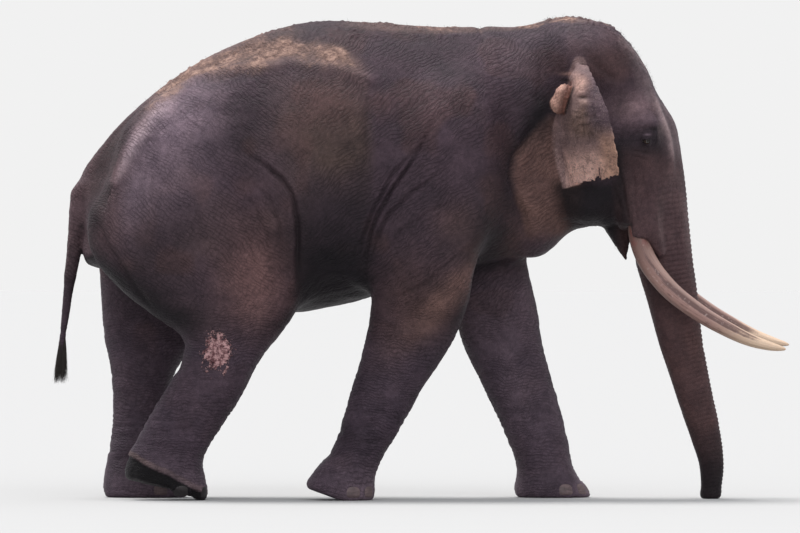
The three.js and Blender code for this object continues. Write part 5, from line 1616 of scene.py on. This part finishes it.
def grow_hair(skin, skin_data, material):
    """The tail's brush, sparse bristles and the lashes of the upper lids."""
    lifted, n, uv, corners = skin_data
    rng = np.random.default_rng(HAIR_SEED)
    first = np.zeros(len(lifted), int)
    first[corners[::-1]] = np.arange(len(corners))[::-1]
    own = to_head(lifted)
    x, _, z = lifted.T
    # the tail's brush: coarse hairs from the front and back of its end, down to one level
    tail = np.flatnonzero((x < -2.06) & (z < 0.98) & (z > 0.80) & (np.abs(n[:, 0]) > 0.35))
    pick = rng.choice(tail, TAIL_HAIRS)
    lengths = np.clip(rng.uniform(0.45, 1.0, len(pick)) * (z[pick] - BRUSH_END), 0.05, None)
    ways = n[pick] * 0.05 + [-0.04, 0, -1] + rng.normal(0, 0.038, (len(pick), 3))
    thick = rng.uniform(0.0007, 0.0011, len(pick))
    droop = rng.uniform(0, 0.08, len(pick))
    roots = lifted[pick] - n[pick] * 0.002
    hair_piece("tail_hair", roots, ways, lengths, thick, droop, material, uv[first[pick]], 8, ["tail_tuft"])
    # sparse bristles: where they stand, how many there are and the length of the longest
    crown = (own[:, 2] > 2.45) & (own[:, 0] > 0.75) & (np.abs(own[:, 1]) < 0.3)
    back = (n[:, 2] > 0.75) & (z > 2.3) & (x < 0.8) & (x > -1.9)
    chin = (own[:, 2] < 1.62) & (own[:, 0] > 1.05) & (own[:, 0] < 1.32) & (z > 1.4)
    trunk = (own[:, 0] > 1.3) & (z < 1.9) & (z > 0.05)
    picks, ways, lengths = [], [], []
    for where, count, long in ((crown, 900, 0.03), (back, 700, 0.024), (chin, 60, 0.03), (trunk, 350, 0.02)):
        chosen = rng.choice(np.flatnonzero(where), count)
        picks.append(chosen)
        ways.append(n[chosen] + rng.normal(0, 0.3, (count, 3)) + [-0.25, 0, 0])
        lengths.append(rng.uniform(0.4, 1.0, count) * long)
    # lashes of the upper lid
    for side, sign in SIDES.items():
        middle = to_head(skin.eyes[side][None])[0]
        u, v = own[:, 0] - middle[0], own[:, 2] - middle[2]
        lid = (np.abs(u) < 0.024) & (v > 0.004) & (v < 0.019) & (own[:, 1] * sign > 0.1)
        chosen = rng.choice(np.flatnonzero(lid), LASHES)
        picks.append(chosen)
        spread = np.stack([u[chosen] * 14, np.full(LASHES, 0.9 * sign), np.full(LASHES, -0.45)], -1)
        ways.append((spread + rng.normal(0, 0.1, (LASHES, 3))) @ HEAD_TURN.T)
        lengths.append(rng.uniform(0.02, 0.034, LASHES))
    pick = np.concatenate(picks)
    droop = rng.uniform(0, 0.25, len(pick))
    thick = np.full(len(pick), BRISTLE)
    roots = lifted[pick] - n[pick] * 0.001
    lengths = np.concatenate(lengths)
    hair_piece("bristles", roots, np.vstack(ways), lengths, thick, droop, material, uv[first[pick]], 3)


skin, beds, skin_data = build_skin(hide_material())
ivory, wet, horn, bristle = ivory_material(), eye_material(), nail_material(), hair_material()
for side in SIDES:
    tusk_piece(side, ivory)
    eye_piece(side, skin.eyes[side], wet)
for name in NAILS:
    nail_piece(name, beds[name], skin, horn)
grow_hair(skin, skin_data, bristle)

# ---- floor, light and camera

scene = bpy.context.scene
scene.view_settings.view_transform = "Standard"

PALE = (0.585, 0.585, 0.585)
FLOOR_BOUNCE = (0.22, 0.22, 0.22)
FLOOR_SPAN = 600.0
SKY_LIGHT = (0.60, 0.61, 0.63, 1)
SKY_SEEN = (0.88, 0.88, 0.88, 1)


def seen(m):
    """1 for what the camera sees directly or in a reflection, 0 for light that reaches the object."""
    path = m.node("ShaderNodeLightPath").outputs
    out = path["Is Camera Ray"]
    for name in ("Is Glossy Ray", "Is Transmission Ray"):
        out = m.math("MAXIMUM", out, path[name])
    return out


ground = Material("floor")
ground.set(base_color=ground.mix(seen(ground), FLOOR_BOUNCE, PALE), roughness=0.9, specular_ior_level=0.0)
floor_corners = [(sx * FLOOR_SPAN, sy * FLOOR_SPAN, 0) for sx, sy in ((-1, -1), (1, -1), (1, 1), (-1, 1))]
floor_mesh = bpy.data.meshes.new("floor")
floor_mesh.from_pydata(floor_corners, [], [(0, 1, 2, 3)])
floor_mesh.materials.append(ground.made)
floor = bpy.data.objects.new("floor", floor_mesh)
scene.collection.objects.link(floor)

world = bpy.data.worlds.new("studio")
scene.world = world
world.use_nodes = True
tree = world.node_tree
tree.nodes.clear()
path = tree.nodes.new("ShaderNodeLightPath")
direct = tree.nodes.new("ShaderNodeMath")
direct.operation = "MAXIMUM"
tree.links.new(path.outputs["Is Camera Ray"], direct.inputs[0])
tree.links.new(path.outputs["Is Transmission Ray"], direct.inputs[1])
shown = tree.nodes.new("ShaderNodeMix")
shown.data_type = "RGBA"
tree.links.new(direct.outputs[0], shown.inputs[0])
shown.inputs[6].default_value = SKY_LIGHT
shown.inputs[7].default_value = SKY_SEEN
sky = tree.nodes.new("ShaderNodeBackground")
tree.links.new(shown.outputs[2], sky.inputs["Color"])
tree.links.new(sky.outputs[0], tree.nodes.new("ShaderNodeOutputWorld").inputs["Surface"])


def lamp(name, direction, strength, softness, colour):
    data = bpy.data.lights.new(name, "SUN")
    data.energy = strength
    data.angle = math.radians(softness)
    data.color = colour
    made = bpy.data.objects.new(name, data)
    made.rotation_mode = "QUATERNION"
    made.rotation_quaternion = Vector(direction).to_track_quat("-Z", "Y")
    scene.collection.objects.link(made)


lamp("key", (0.30, -0.22, -1.0), 2.6, 25, (1.0, 0.985, 0.965))
lamp("fill", (-0.2, 1.0, -0.45), 1.0, 60, (0.97, 0.98, 1.0))

CAMERA_FAR = 50.0
CAMERA_HIGH = 1.35
FRAME_WIDE = 4.8  # metres across the picture at the animal
SENSOR = 36
camera_data = bpy.data.cameras.new("camera")
camera_data.sensor_width = SENSOR
camera_data.lens = SENSOR * CAMERA_FAR / FRAME_WIDE
camera_data.clip_start, camera_data.clip_end = 1, 3000
camera = bpy.data.objects.new("camera", camera_data)
scene.collection.objects.link(camera)
scene.camera = camera
target = Vector((-0.125, MIDPLANE, 1.392))
camera.location = (target.x, target.y - CAMERA_FAR, CAMERA_HIGH)
camera.rotation_mode = "QUATERNION"
camera.rotation_quaternion = (target - camera.location).to_track_quat("-Z", "Y")
